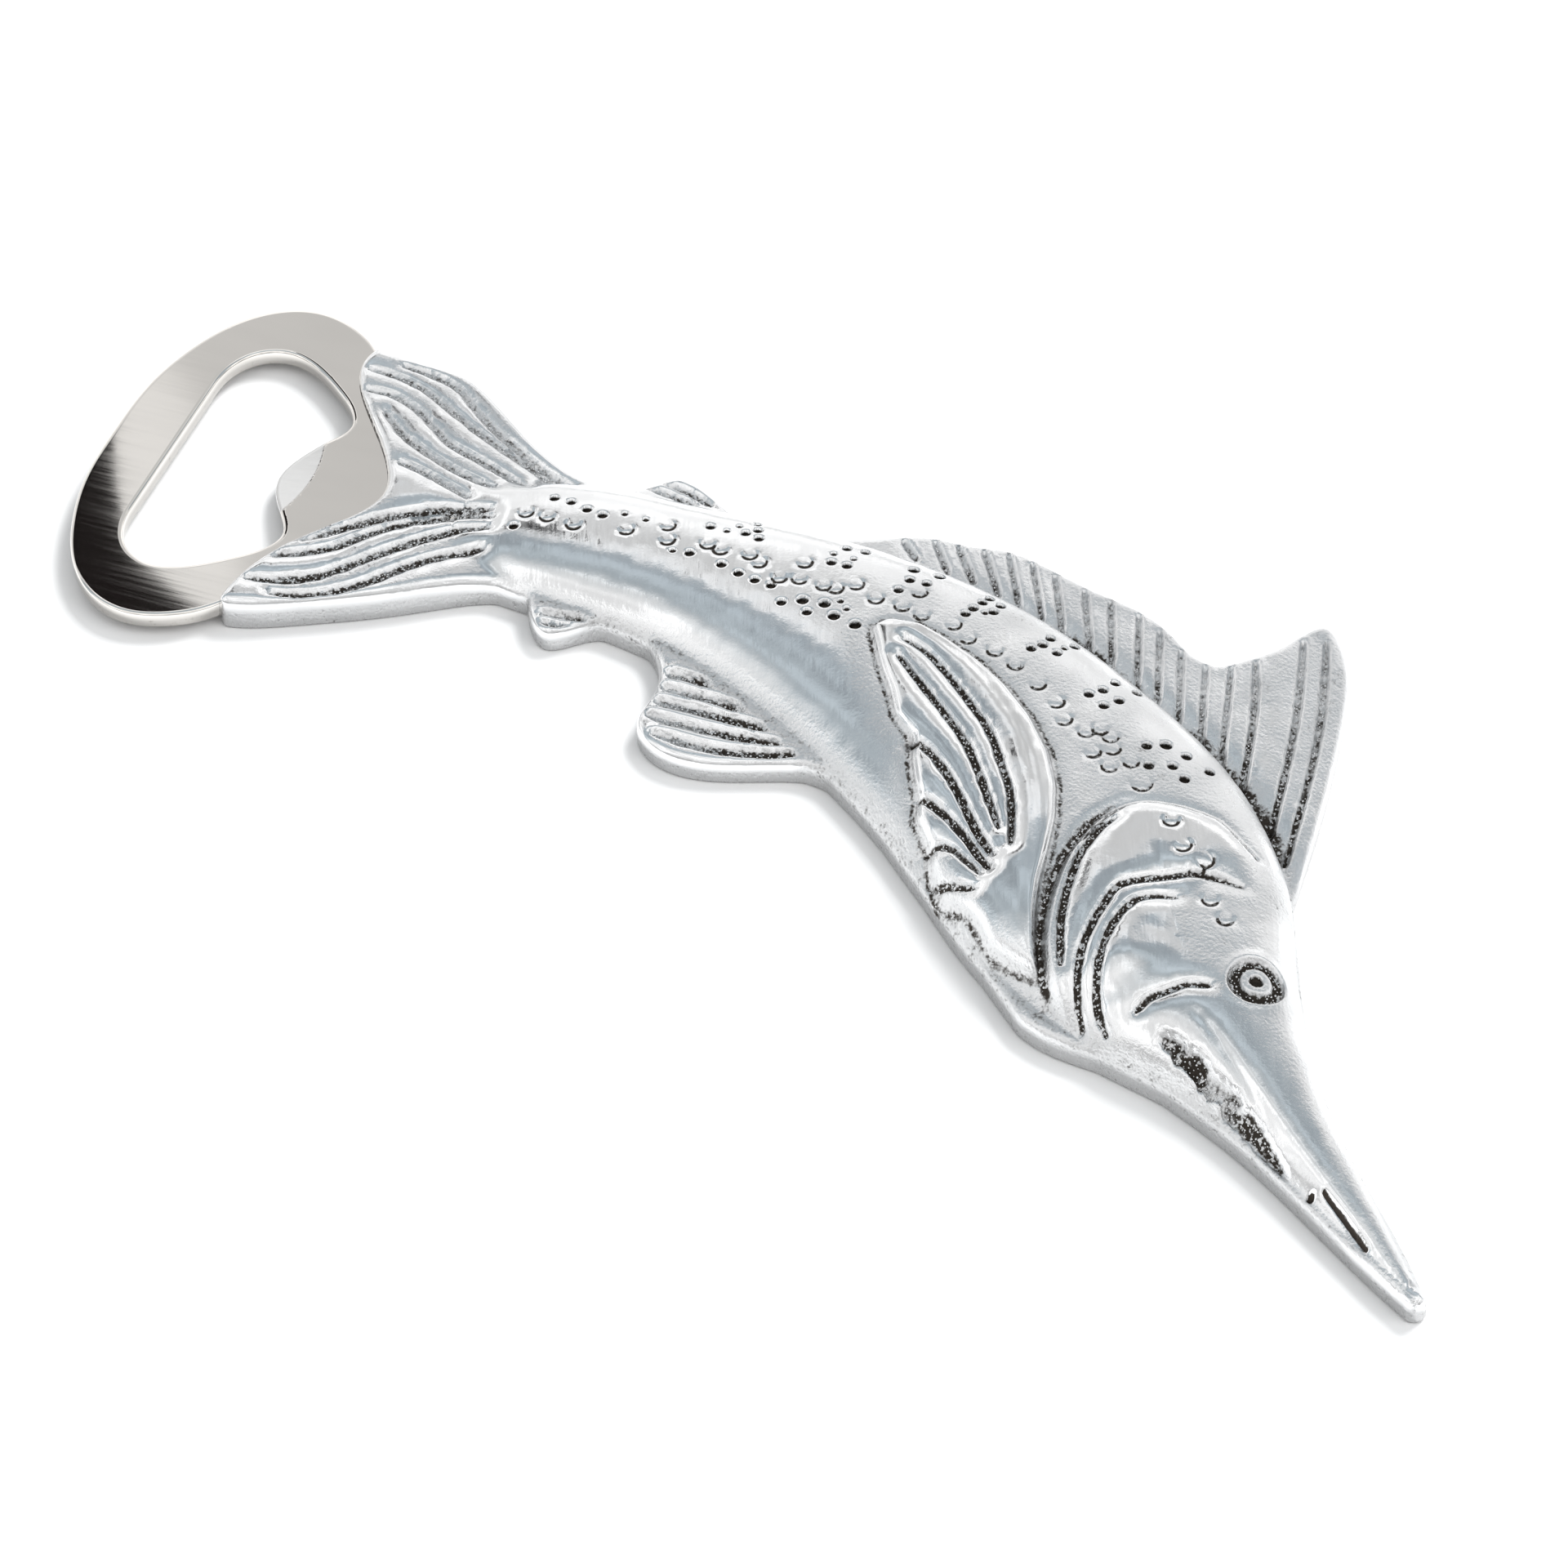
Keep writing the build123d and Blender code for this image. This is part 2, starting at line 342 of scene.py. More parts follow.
class Grain:
    """Repeatable smooth noise in the plan, from -1 to 1."""

    size = 256

    def __init__(self, seed: int) -> None:
        """Fills the table of random heights from a seed."""
        self.table = np.random.default_rng(seed).uniform(-1, 1, (self.size, self.size))

    def at(self, points: Array, wavelength: float) -> Array:
        """Noise at plan points.

        Args:
            points: plan points.
            wavelength: size of a bump, in millimetres.

        Returns:
            One number for each point.
        """
        place = points / wavelength
        cell = np.floor(place).astype(np.int64)
        t = place - cell
        t = t * t * (3 - 2 * t)
        i, j = cell[:, 0] % self.size, cell[:, 1] % self.size
        k, m = (i + 1) % self.size, (j + 1) % self.size
        low = self.table[i, j] * (1 - t[:, 0]) + self.table[k, j] * t[:, 0]
        high = self.table[i, m] * (1 - t[:, 0]) + self.table[k, m] * t[:, 0]
        return low * (1 - t[:, 1]) + high * t[:, 1]


# ---------------------------------------------------------------- meshes


def flat_face_loops(node: bpy.types.Object, drawing: Drawing, level: float) -> list[Array]:
    """Reads the edges of a CAD node's flat lower face.

    Args:
        node: the CAD node's object, which is only read.
        drawing: the drawing frame.
        level: height of the face, in millimetres.

    Returns:
        Closed plan loops with the metal on their left, the widest first.
    """
    mesh = node.data
    place = np.empty(len(mesh.vertices) * 3, np.float32)
    mesh.vertices.foreach_get("co", place)
    place = place.reshape(-1, 3)
    _, first, weld = np.unique(np.round(place / WELD).astype(np.int64), axis=0,
                               return_index=True, return_inverse=True)
    weld = weld.reshape(-1)
    points = drawing.to_drawing(place[first])
    mesh.calc_loop_triangles()
    triangles = np.empty(len(mesh.loop_triangles) * 3, np.int32)
    mesh.loop_triangles.foreach_get("vertices", triangles)
    triangles = weld[triangles.reshape(-1, 3)]
    flat = (np.abs(points[triangles][:, :, 2] - level) < 0.01).all(1)
    after = {}
    for a, b, c in triangles[flat]:
        for start, end in ((a, b), (b, c), (c, a)):
            if after.get(end) is not None and start in after[end]:
                after[end].discard(start)
            else:
                after.setdefault(start, set()).add(end)
    loops = []
    left = {start: ends for start, ends in after.items() if ends}
    while left:
        start = next(iter(left))
        chain = [start]
        while True:
            ends = left[chain[-1]]
            step = ends.pop()
            if not ends:
                del left[chain[-1]]
            if step == start:
                break
            chain.append(step)
        loops.append(points[chain][::-1, :2])
    return sorted(loops, key=lambda loop: np.ptp(loop[:, 0]), reverse=True)


@dataclass(frozen=True)
class SlabEdge:
    """Shape of a slab's wall below its upper rim.

    Args:
        foot: height of the flat lower face.
        round_off: radius of the lower edge.
        rows: how many rows divide the upright wall.
        wall: point attributes of the wall and the lower face, 0 where they aren't given.
    """

    foot: float
    round_off: float
    rows: int = 3
    wall: dict[str, float] = field(default_factory=dict)


def triangulate(points: Array, loops: Sequence[int]) -> tuple[Array, Array]:
    """Fills closed loops with triangles through every plan point.

    Args:
        points: plan points, the loops' points first and in order.
        loops: number of points in each loop.

    Returns:
        Plan points and triangles that turn anticlockwise.
    """
    edges, first = [], 0
    for count in loops:
        edges += [(first + i, first + (i + 1) % count) for i in range(count)]
        first += count
    made = delaunay_2d_cdt([Vector(p) for p in points], edges, [], INSIDE, 1e-7)
    plan = np.array([tuple(v) for v in made[0]])
    triangles = np.array(made[2], np.int64)
    a, b, c = (plan[triangles[:, k]] for k in range(3))
    turn = (b[:, 0] - a[:, 0]) * (c[:, 1] - a[:, 1]) - (b[:, 1] - a[:, 1]) * (c[:, 0] - a[:, 0])
    triangles[turn < 0] = triangles[turn < 0][:, ::-1]
    first = loops[0]
    for count in loops[1:]:
        hole = points[first : first + count]
        triangles = triangles[~inside(plan[triangles].mean(1), hole)]
        first += count
    return plan, triangles


def build_slab(
    name: str,
    drawing: Drawing,
    loops: Sequence[Array],
    inner: Array,
    relief: Callable[[Array], dict[str, Array]],
    edge: SlabEdge,
) -> bpy.types.Object:
    """Builds a closed body with a flat lower face, upright walls and a worked upper face.

    Args:
        name: the piece's name.
        drawing: the drawing frame.
        loops: closed plan loops with the metal on their left.
        inner: plan points inside the metal.
        relief: gives each plan point its height "z" and its other point attributes.
        edge: shape of the wall.

    Returns:
        The linked object.
    """
    counts = [len(loop) for loop in loops]
    rim = np.vstack(loops)
    normal = np.vstack([left_normals(loop, True) for loop in loops])
    plan, top = triangulate(np.vstack([rim, inner]), counts)
    if len(plan) != len(rim) + len(inner):
        log.info("%s: %d plan points merged", name, len(rim) + len(inner) - len(plan))
    values = relief(plan)
    n = len(rim)
    rim_z = values["z"][:n]
    rows = []
    for share in np.linspace(0, 1, edge.rows + 1)[1:]:
        z = rim_z * (1 - share) + (edge.foot + edge.round_off) * share
        rows.append(np.c_[plan[:n], z])
    for turn in (30, 60, 90):
        a = math.radians(turn)
        inset = edge.round_off * (1 - math.cos(a))
        z = np.full(n, edge.foot + edge.round_off * (1 - math.sin(a)))
        rows.append(np.c_[plan[:n] + normal * inset, z])
    vertices = np.vstack([np.c_[plan, values["z"]], *rows])
    here = np.arange(n)
    onward = np.concatenate([
        first + (np.arange(count) + 1) % count
        for first, count in zip(np.cumsum([0, *counts[:-1]]), counts)
    ])
    wall, upper = [], here
    for k in range(len(rows)):
        lower = len(plan) + k * n + here
        wall.append(np.c_[upper, lower, lower[onward], upper[onward]])
        upper = lower
    foot_plan, foot = triangulate(rows[-1][:, :2], counts)
    foot = foot[:, ::-1] + len(plan) + (len(rows) - 1) * n
    if len(foot_plan) != n:
        log.warning("%s: the lower face lost %d points", name, n - len(foot_plan))
    faces = [*top.tolist(), *np.vstack(wall).tolist(), *foot.tolist()]
    mesh = bpy.data.meshes.new(name)
    mesh.from_pydata(drawing.to_frame(vertices).tolist(), [], faces)
    smooth = np.ones(len(faces), bool)
    smooth[-len(foot):] = False
    mesh.polygons.foreach_set("use_smooth", smooth)
    for key, value in values.items():
        if key != "z":
            wall_value = np.full(n, edge.wall.get(key, 0.0))
            column = np.concatenate([value, *[wall_value] * len(rows)]).astype(np.float32)
            mesh.attributes.new(key, "FLOAT", "POINT").data.foreach_set("value", column)
    mesh.update()
    piece = bpy.data.objects.new(name, mesh)
    bpy.context.scene.collection.objects.link(piece)
    log.info("%s: %d vertices, %d faces", name, len(mesh.vertices), len(mesh.polygons))
    return piece


def edge_drop(depth: Array, radius: float) -> Array:
    """How far a rounded upper edge lies below the face, at a distance in from the rim.

    Args:
        depth: distances in from the rim.
        radius: radius of the edge.

    Returns:
        Drops, from radius at the rim to 0.
    """
    near = radius - np.clip(depth, 0, radius)
    return radius - np.sqrt(np.maximum(radius**2 - near**2, 0))


def edge_rings(loops: Sequence[Array], insets: Iterable[float]) -> Array:
    """Plan points in rows that follow the rims, for a rounded edge.

    Args:
        loops: closed plan loops with the metal on their left.
        insets: distances of the rows in from the rims.

    Returns:
        The plan points, without those that another rim comes too close to.
    """
    rings = []
    for loop in loops:
        normal = left_normals(loop, True)
        rings += [loop + normal * inset for inset in insets]
    depths = np.concatenate([np.full(len(loop), inset) for loop in loops for inset in insets])
    points = np.vstack(rings)
    near = rim_distance(points, loops)
    return points[near > 0.93 * depths]


def rim_distance(points: Array, loops: Sequence[Array], reach: float = RIM_REACH) -> Array:
    """Distance of plan points from the nearest rim.

    Args:
        points: plan points.
        loops: closed plan loops.
        reach: largest distance that is told apart.

    Returns:
        Unsigned distances.
    """
    found = np.full(len(points), reach)
    for loop in loops:
        gap = np.abs(measure_to(points, np.vstack([loop, loop[:1]]), reach)[0])
        found = np.minimum(found, gap)
    return found


def strip_points(path: Array, offsets: Iterable[float]) -> Array:
    """Plan points in rows beside a path.

    Args:
        path: plan points.
        offsets: distances of the rows from the path, to its left.

    Returns:
        The plan points.
    """
    normal = left_normals(path, False)
    return np.vstack([path + normal * offset for offset in offsets])


# ---------------------------------------------------------------- the fish's body


@dataclass(frozen=True)
class Station:
    """One section across the body, from its back edge to its belly edge.

    Args:
        back: plan point of the back edge.
        belly: plan point of the belly edge.
        crown: greatest height.
        fullness: exponent of the section on the back's side.
    """

    back: tuple[float, float]
    belly: tuple[float, float]
    crown: float
    fullness: float


@dataclass
class Body:
    """The domed body, a row of sections from tail to bill."""

    belly_fullness: float = 2.5
    stations: tuple[Station, ...] = (
        Station((45, 7.4), (45, -7.2), 4.8, 2.5),
        Station((56, 10.3), (55.5, -9.6), 6.5, 2.7),
        Station((76, 10.9), (73.5, -12), 7.5, 3.0),
        Station((96, 9.8), (88, -17.8), 8.4, 3.6),
        Station((113, 5.8), (100, -25), 9.0, 4.0),
        Station((129, -1.9), (112, -34.5), 9.5, 4.0),
        Station((143.4, -12.2), (124, -45.6), 9.8, 4.0),
        Station((153, -25), (138, -53), 10.0, 3.5),
        Station((158, -38), (149.5, -56), 9.4, 2.6),
        Station((165.2, -52.2), (160.8, -61.7), 7.2, 2.4),
        Station((174, -63.8), (171.2, -68.6), 5.2, 2.3),
        Station((179.8, -71.4), (178.6, -73.2), 3.6, 2.2),
    )

    def __post_init__(self) -> None:
        """Runs smooth rails through the stations."""
        rows = [[*s.back, *s.belly, s.crown, s.fullness] for s in self.stations]
        self.rails = smooth_path(rows, 0.5)
        self.count = len(self.rails) - 1.0

    def _across(self, at: Array) -> tuple[Array, Array, Array]:
        """Reads the section at places along the rails.

        Args:
            at: places along the rails, in steps of their points.

        Returns:
            Middles, half width vectors, and rows of crown and fullness.
        """
        index = np.arange(len(self.rails))
        row = [np.interp(at, index, self.rails[:, k]) for k in range(6)]
        middle = np.stack([row[0] + row[2], row[1] + row[3]], -1) / 2
        half = np.stack([row[0] - row[2], row[1] - row[3]], -1) / 2
        return middle, half, np.stack(row[4:], -1)

    def rise(self, points: Array) -> tuple[Array, Array, Array]:
        """Height of the dome over plan points.

        Args:
            points: plan points.

        Returns:
            Heights, places across (1 at the back edge, -1 at the belly) and half widths.
        """
        low, high = np.zeros(len(points)), np.full(len(points), self.count)
        for _ in range(17):
            at = (low + high) / 2
            middle, half, _ = self._across(at)
            gap = points - middle
            past = gap[:, 0] * half[:, 1] - gap[:, 1] * half[:, 0] < 0
            high = np.where(past, at, high)
            low = np.where(past, low, at)
        at = (low + high) / 2
        middle, half, rest = self._across(at)
        width = np.hypot(half[:, 0], half[:, 1])
        across = ((points - middle) * half).sum(1) / width**2
        power = np.where(across > 0, rest[:, 1], self.belly_fullness)
        height = rest[:, 0] * np.clip(1 - np.abs(across) ** power, 0, 1) ** (1 / power)
        ended = (at < 0.01) | (at > self.count - 0.01)
        return np.where(ended, 0, height), across, width


# ---------------------------------------------------------------- relief on the casting


class Place(Enum):
    """Where a groove is cut, which sets how it ends and how rough its floor is."""

    TAIL = "tail"
    FIN = "fin"
    FEATHER = "feather"
    GILL = "gill"
    MOUTH = "mouth"
    CREASE = "crease"


@dataclass(frozen=True)
class Groove:
    """A groove with a rough floor.

    Args:
        place: where it is.
        path: plan points.
        width: greatest width.
        depth: greatest depth.
        grime_and_shade: how dark its floor is.
    """

    place: Place
    path: Path
    width: float
    depth: float
    grime_and_shade: float = 0.8

    def line(self, spacing: float = 0.26) -> Array:
        """The smooth path, divided evenly."""
        return smooth_path(self.path, spacing)

    def half_width(self, along: Array) -> Array:
        """Half the width at places along the path.

        Args:
            along: places from 0 to 1.

        Returns:
            Half widths.
        """
        ends = np.clip(np.minimum(along, 1 - along) * 7, 0, 1)
        if self.place is Place.MOUTH:
            return self.width / 2 * (1 - 0.42 * along) * (0.55 + 0.45 * np.clip(along * 12, 0, 1))
        return self.width / 2 * (0.45 + 0.55 * np.sqrt(ends))


@dataclass(frozen=True)
class Punch:
    """A round mark in the back: a drilled pit, or a crescent left by a ring punch.

    Args:
        x: plan place.
        y: plan place.
        radius: radius of the mark.
        ring: whether it is a crescent.
    """

    x: float
    y: float
    radius: float
    ring: bool = False


def grooves_of(place: Place, width: float, depth: float, grime_and_shade: float, *paths: Path) -> list[Groove]:
    """Grooves of one kind.

    Args:
        place: where they are.
        width: their width.
        depth: their depth.
        grime_and_shade: how dark their floors are.
        paths: plan points of each.

    Returns:
        The grooves.
    """
    return [Groove(place, path, width, depth, grime_and_shade) for path in paths]


@dataclass
class Markings:
    """Every groove and punch mark on the casting."""

    pit: float = 0.62
    small_pit: float = 0.42
    large_pit: float = 0.74
    crescent: float = 0.9
    eye: tuple[float, float] = (154.2, -43.3)
    eye_radius: float = 3.1
    eye_boss: float = 1.7
    pupil: float = 0.7
    grooves: list[Groove] = field(default_factory=list)
    punches: list[Punch] = field(default_factory=list)

    def __post_init__(self) -> None:
        """Lists the grooves and the punch marks."""
        self.grooves += self.tail_rays() + self.fin_rays() + self.back_fin_rays()
        self.grooves += self.feathers() + self.head_lines()
        self.punches += self.pits() + self.crescents()

    def tail_rays(self) -> list[Groove]:
        """Grooves between the rays of the two tail lobes.

        Returns:
            The grooves.
        """
        upper = grooves_of(
            Place.TAIL, 1.0, 0.5, 0.54,
            ((28.5, 21.6), (33, 21), (36.5, 19.8), (40, 17), (44, 14.2), (48, 12), (52, 10.2), (56, 9.2)),
            ((24.8, 19.7), (29, 19.4), (33, 18.2), (37, 16), (41, 13.9), (45, 12), (49, 10.5), (53, 8.7)),
            ((25.4, 15.9), (29, 16.2), (33, 14.8), (36, 12.8), (39, 10.6), (43, 9.2), (47, 7.8), (51, 6.6)),
            ((29.6, 13.2), (33, 10.3), (36.5, 8.4), (40, 7), (43, 6), (47, 5.2)),
            ((34.8, 5.5), (38, 4.9), (41.5, 3.8), (45, 2.6)),
        )
        lower = grooves_of(
            Place.TAIL, 1.4, 0.65, 0.8,
            ((28.6, -11), (31, -9.2), (34, -6.5), (37, -3.8), (40, -1.8), (43, -0.2), (48.5, 1)),
            ((26.5, -14.5), (29.5, -13.2), (33, -11), (36, -7.6), (39, -4.6), (42.5, -2.2), (46, -0.6),
             (49, -0.4)),
            ((26, -18.8), (30, -17.7), (34, -15.4), (37, -12), (40, -8.6), (43, -5.5), (46, -3.2),
             (49.4, -2.2)),
            ((29.6, -20.1), (34, -19), (37, -17), (40, -14), (43, -10.5), (46, -7.6), (50, -5.1)),
        )
        return upper + lower

    def fin_rays(self) -> list[Groove]:
        """Grooves in the two finlets and the anal fin.

        Returns:
            The grooves.
        """
        finlets = grooves_of(
            Place.FIN, 0.9, 0.5, 0.8,
            ((63.2, 12.4), (66.4, 12.0), (69.6, 11.5)),
            ((64.8, 13.8), (68.4, 13.1), (71.8, 12.0)),
            ((60.0, -11.6), (62.4, -11.5), (65.0, -11.2)),
            ((60.4, -13.1), (62.8, -12.9), (65.2, -12.2)),
        )
        anal = grooves_of(
            Place.FIN, 1.45, 0.75, 0.9,
            ((77.2, -15.9), (79.6, -15.9), (82.0, -16.2)),
            ((77.4, -18.1), (82, -18.1), (87.0, -18.6)),
            ((77.3, -20.4), (84, -20.3), (90.4, -20.6)),
            ((77.4, -22.8), (85, -22.8), (92.8, -22.2)),
            ((79.0, -25.3), (87, -25.3), (94.8, -23.2)),
        )
        return finlets + anal

    def back_fin_rays(self) -> list[Groove]:
        """Grooves in the long low fin along the back and in its tall front lobe.

        Returns:
            The grooves.
        """
        low_fin = grooves_of(
            Place.FIN, 0.75, 0.5, 0.75,
            ((95.0, 14.0), (97.6, 11.4)),
            ((98.6, 15.0), (101.6, 10.8)),
            ((101.4, 15.2), (105.0, 10.2)),
            ((104.4, 15.6), (108.4, 9.2)),
            ((107.4, 15.8), (111.2, 8.2)),
            ((110.4, 15.4), (114.2, 7.4)),
            ((113.4, 14.6), (117.0, 6.2)),
            ((117.4, 13.4), (120.8, 4.6)),
            ((120.8, 12.6), (124.0, 3.0)),
            ((124.6, 11.4), (127.6, 1.0)),
            ((127.6, 9.8), (130.6, -1.0)),
            ((130.8, 7.6), (133.8, -3.2)),
            ((134.2, 6.0), (137.2, -6.2)),
            ((137.0, 6.8), (140.4, -9.0)),
        )
        lobe = grooves_of(
            Place.FIN, 0.85, 0.55, 0.85,
            ((139.4, 8.6), (141.6, 0), (143.6, -12.2)),
            ((143.6, 13.6), (146.4, 0), (148.4, -17.4)),
            ((146.1, 14.4), (149.2, 0), (151.1, -20.0)),
        )
        return low_fin + lobe

    def feathers(self) -> list[Groove]:
        """Grooves between the rays of the pectoral fin, and the lines round its root.

        Returns:
            The grooves.
        """
        between = grooves_of(
            Place.FEATHER, 0.95, 0.8, 0.95,
            ((102.5, -7.4), (105.8, -8.9), (109.3, -11.7), (112.2, -14.4), (115.2, -17.3), (117.5, -20.2),
             (119.3, -23.2), (121.1, -26.1), (122.5, -29.6), (123.7, -33.5)),
            ((102.8, -10.2), (105.8, -12.9), (108.7, -15.5), (111.6, -18.2), (114.3, -20.8), (116.9, -24.4),
             (119.3, -27.9), (121.6, -31.4)),
            ((107.8, -21.4), (109.9, -22.3), (113.4, -25.2), (116.4, -28.5), (119.3, -32), (122.2, -34.9)),
            ((111.6, -28.5), (114.6, -30.2), (117.5, -32.3), (120.5, -34.9), (122.5, -36.7)),
        )
        root = grooves_of(
            Place.FEATHER, 0.75, 0.5, 0.9,
            ((114.3, -34.1), (116.9, -34.4), (119.3, -35.8), (121.6, -37.3)),
            ((115.5, -37.3), (118.7, -38.5), (121.6, -39.1)),
        )
        crease = grooves_of(
            Place.CREASE, 1.1, 0.08, 0.0,
            ((102.5, -5.6), (106.9, -7.1), (111.6, -9.9), (115.6, -13.4), (119.4, -17.6), (122.8, -23.6),
             (125.2, -29.8), (126.2, -36)),
        )
        return between + root + crease

    def head_lines(self) -> list[Groove]:
        """Gill arcs, lip, mouth and the lines along the bill.

        Returns:
            The grooves.
        """
        edge = grooves_of(
            Place.GILL, 0.6, 0.3, 0.8,
            ((149.3, -25.9), (146.9, -24.5), (144, -22.7), (141.1, -22.3), (138.1, -22.4), (135.2, -23.1),
             (133.3, -24.9), (131.7, -27.6), (130.9, -30.4)),
        )
        gills = grooves_of(
            Place.GILL, 0.95, 0.6, 0.95,
            ((133.2, -26.4), (132.2, -28.5), (131.5, -31.4), (131.35, -34.9), (131.6, -38.5), (132.2, -42),
             (133.1, -44.9), (133.7, -46.7)),
            ((149, -30.8), (146.9, -30.8), (144, -31.4), (141.1, -32.6), (138.7, -34.1), (136.6, -36.1),
             (135.9, -39.1), (135.5, -42), (135.5, -45.5), (136.4, -49.1), (138.1, -52)),
            ((142.8, -34.9), (140.5, -35.8), (138.8, -37.3), (137.8, -40.2), (137.5, -43.2), (137.8, -46.7),
             (139, -50.2), (140.8, -52.4)),
            ((143.2, -50.2), (144, -48.8), (145.8, -47.3), (147.5, -46.1), (149.9, -45.5)),
        )
        mouth = grooves_of(
            Place.MOUTH, 1.9, 1.3, 1.3,
            ((146.9, -52.3), (149.9, -53.5), (152.8, -55.2), (155.8, -57.1), (158.1, -58.8), (160.5, -60.8),
             (163.4, -63.5), (166.4, -66.2)),
        )
        bill = grooves_of(
            Place.CREASE, 1.2, 0.22, 0.0,
            ((149.5, -49.4), (154, -53), (158.6, -57.2), (163, -61.2), (168, -65.4), (174, -70.6)),
        )
        crack = grooves_of(
            Place.CREASE, 0.45, 0.6, 1.4,
            ((168, -64.8), (170.6, -66.9), (174, -69.7)),
        )
        return edge + gills + mouth + bill + crack

    def pits(self) -> list[Punch]:
        """Drilled pits, in groups along the back.

        Returns:
            The marks.
        """
        middle = (
            (55.3, 3.9), (57.5, 3.7), (59.8, 2.9), (61.9, 2.5), (52.5, -1.9), (74.5, 4.7), (78.8, 4.9),
            (80.6, 4.4), (79.9, 6), (73.9, -0.5), (78.1, -1.25), (80.5, -2.1), (82.7, -2.6), (84.8, -2.9),
            (90.7, 6.4), (92.9, 6.6), (90, 3), (91.9, 3), (86.9, -5.2), (90.25, -5.9), (99.5, 3.1),
            (101.5, 3.2), (98.9, 0.9), (97.9, 9), (100.9, 8.6), (108.9, 3.8), (110.5, 2.9), (108.5, 2.5),
            (107.9, 0.9), (110.2, 1.2), (107.4, -0.4), (119.3, 3), (117.6, -0.6), (120.4, -0.4),
            (117.2, -2.25), (119.1, -2.9), (116.2, -3.4), (126.6, -4.9), (129.25, -5.1), (125.8, -7),
            (128, -8), (124.6, -8.4), (126.7, -9.6), (133.1, -14.1), (137.6, -13.75), (140.6, -14.9),
            (136.7, -16.1), (134.25, -17.1), (138.5, -17.6),
        )
        large = (
            (89.1, -4.2), (91.7, -4), (93.4, -5.6), (96.2, -6.25), (99.2, 5.4), (102.25, 5.6), (135, -13),
        )
        small = (
            (64.3, 3.5), (67, 3.3), (76.6, 4.5), (77.6, 6), (79.4, 7.3), (71.9, -0.75), (89.75, 4.6),
            (92.2, 4.5), (93.3, -3.1), (94.4, -4.1), (109.4, 0.6), (119.6, -1.6), (166.8, -65.0),
        )
        sizes = ((middle, self.pit), (large, self.large_pit), (small, self.small_pit))
        return [Punch(*p, size) for group, size in sizes for p in group]

    def crescents(self) -> list[Punch]:
        """Crescent marks, in a line along the flank and on the gill cover.

        Returns:
            The marks.
        """
        line = (
            (53, 0.75), (55.75, 0.6), (59.25, 0.1), (65.4, 1.1), (69.75, 3.25), (70.6, 0.9), (75.3, 1.7),
            (77.1, 1.2), (80.6, 1.4), (82.1, 0.4), (87.1, 2), (85.2, -1.3), (87.5, -0.8), (90.5, -1),
            (92, -1.1), (94, 0.25), (96.9, -1.25), (100.2, -1.5), (102.8, -2.2), (101.25, 1.4),
            (106.7, -2.6),
            (109, -4.25), (112.5, -5.2), (115.4, -6.6), (118.75, -8.8), (121.6, -10.9), (123.25, -13.3),
            (126.1, -14.25), (127.5, -13.3), (128.9, -14.1), (127.8, -17.1), (129.7, -15.9), (132.2, -17.1),
            (130.2, -18.6), (139.2, -25.1), (141.5, -28.3), (144.4, -29.35), (143.7, -30.5), (146.4, -34.2),
            (148.7, -36.3),
        )
        wide = Punch(134.3, -20, 1.15, True)
        return [Punch(*p, self.crescent, True) for p in line] + [wide]


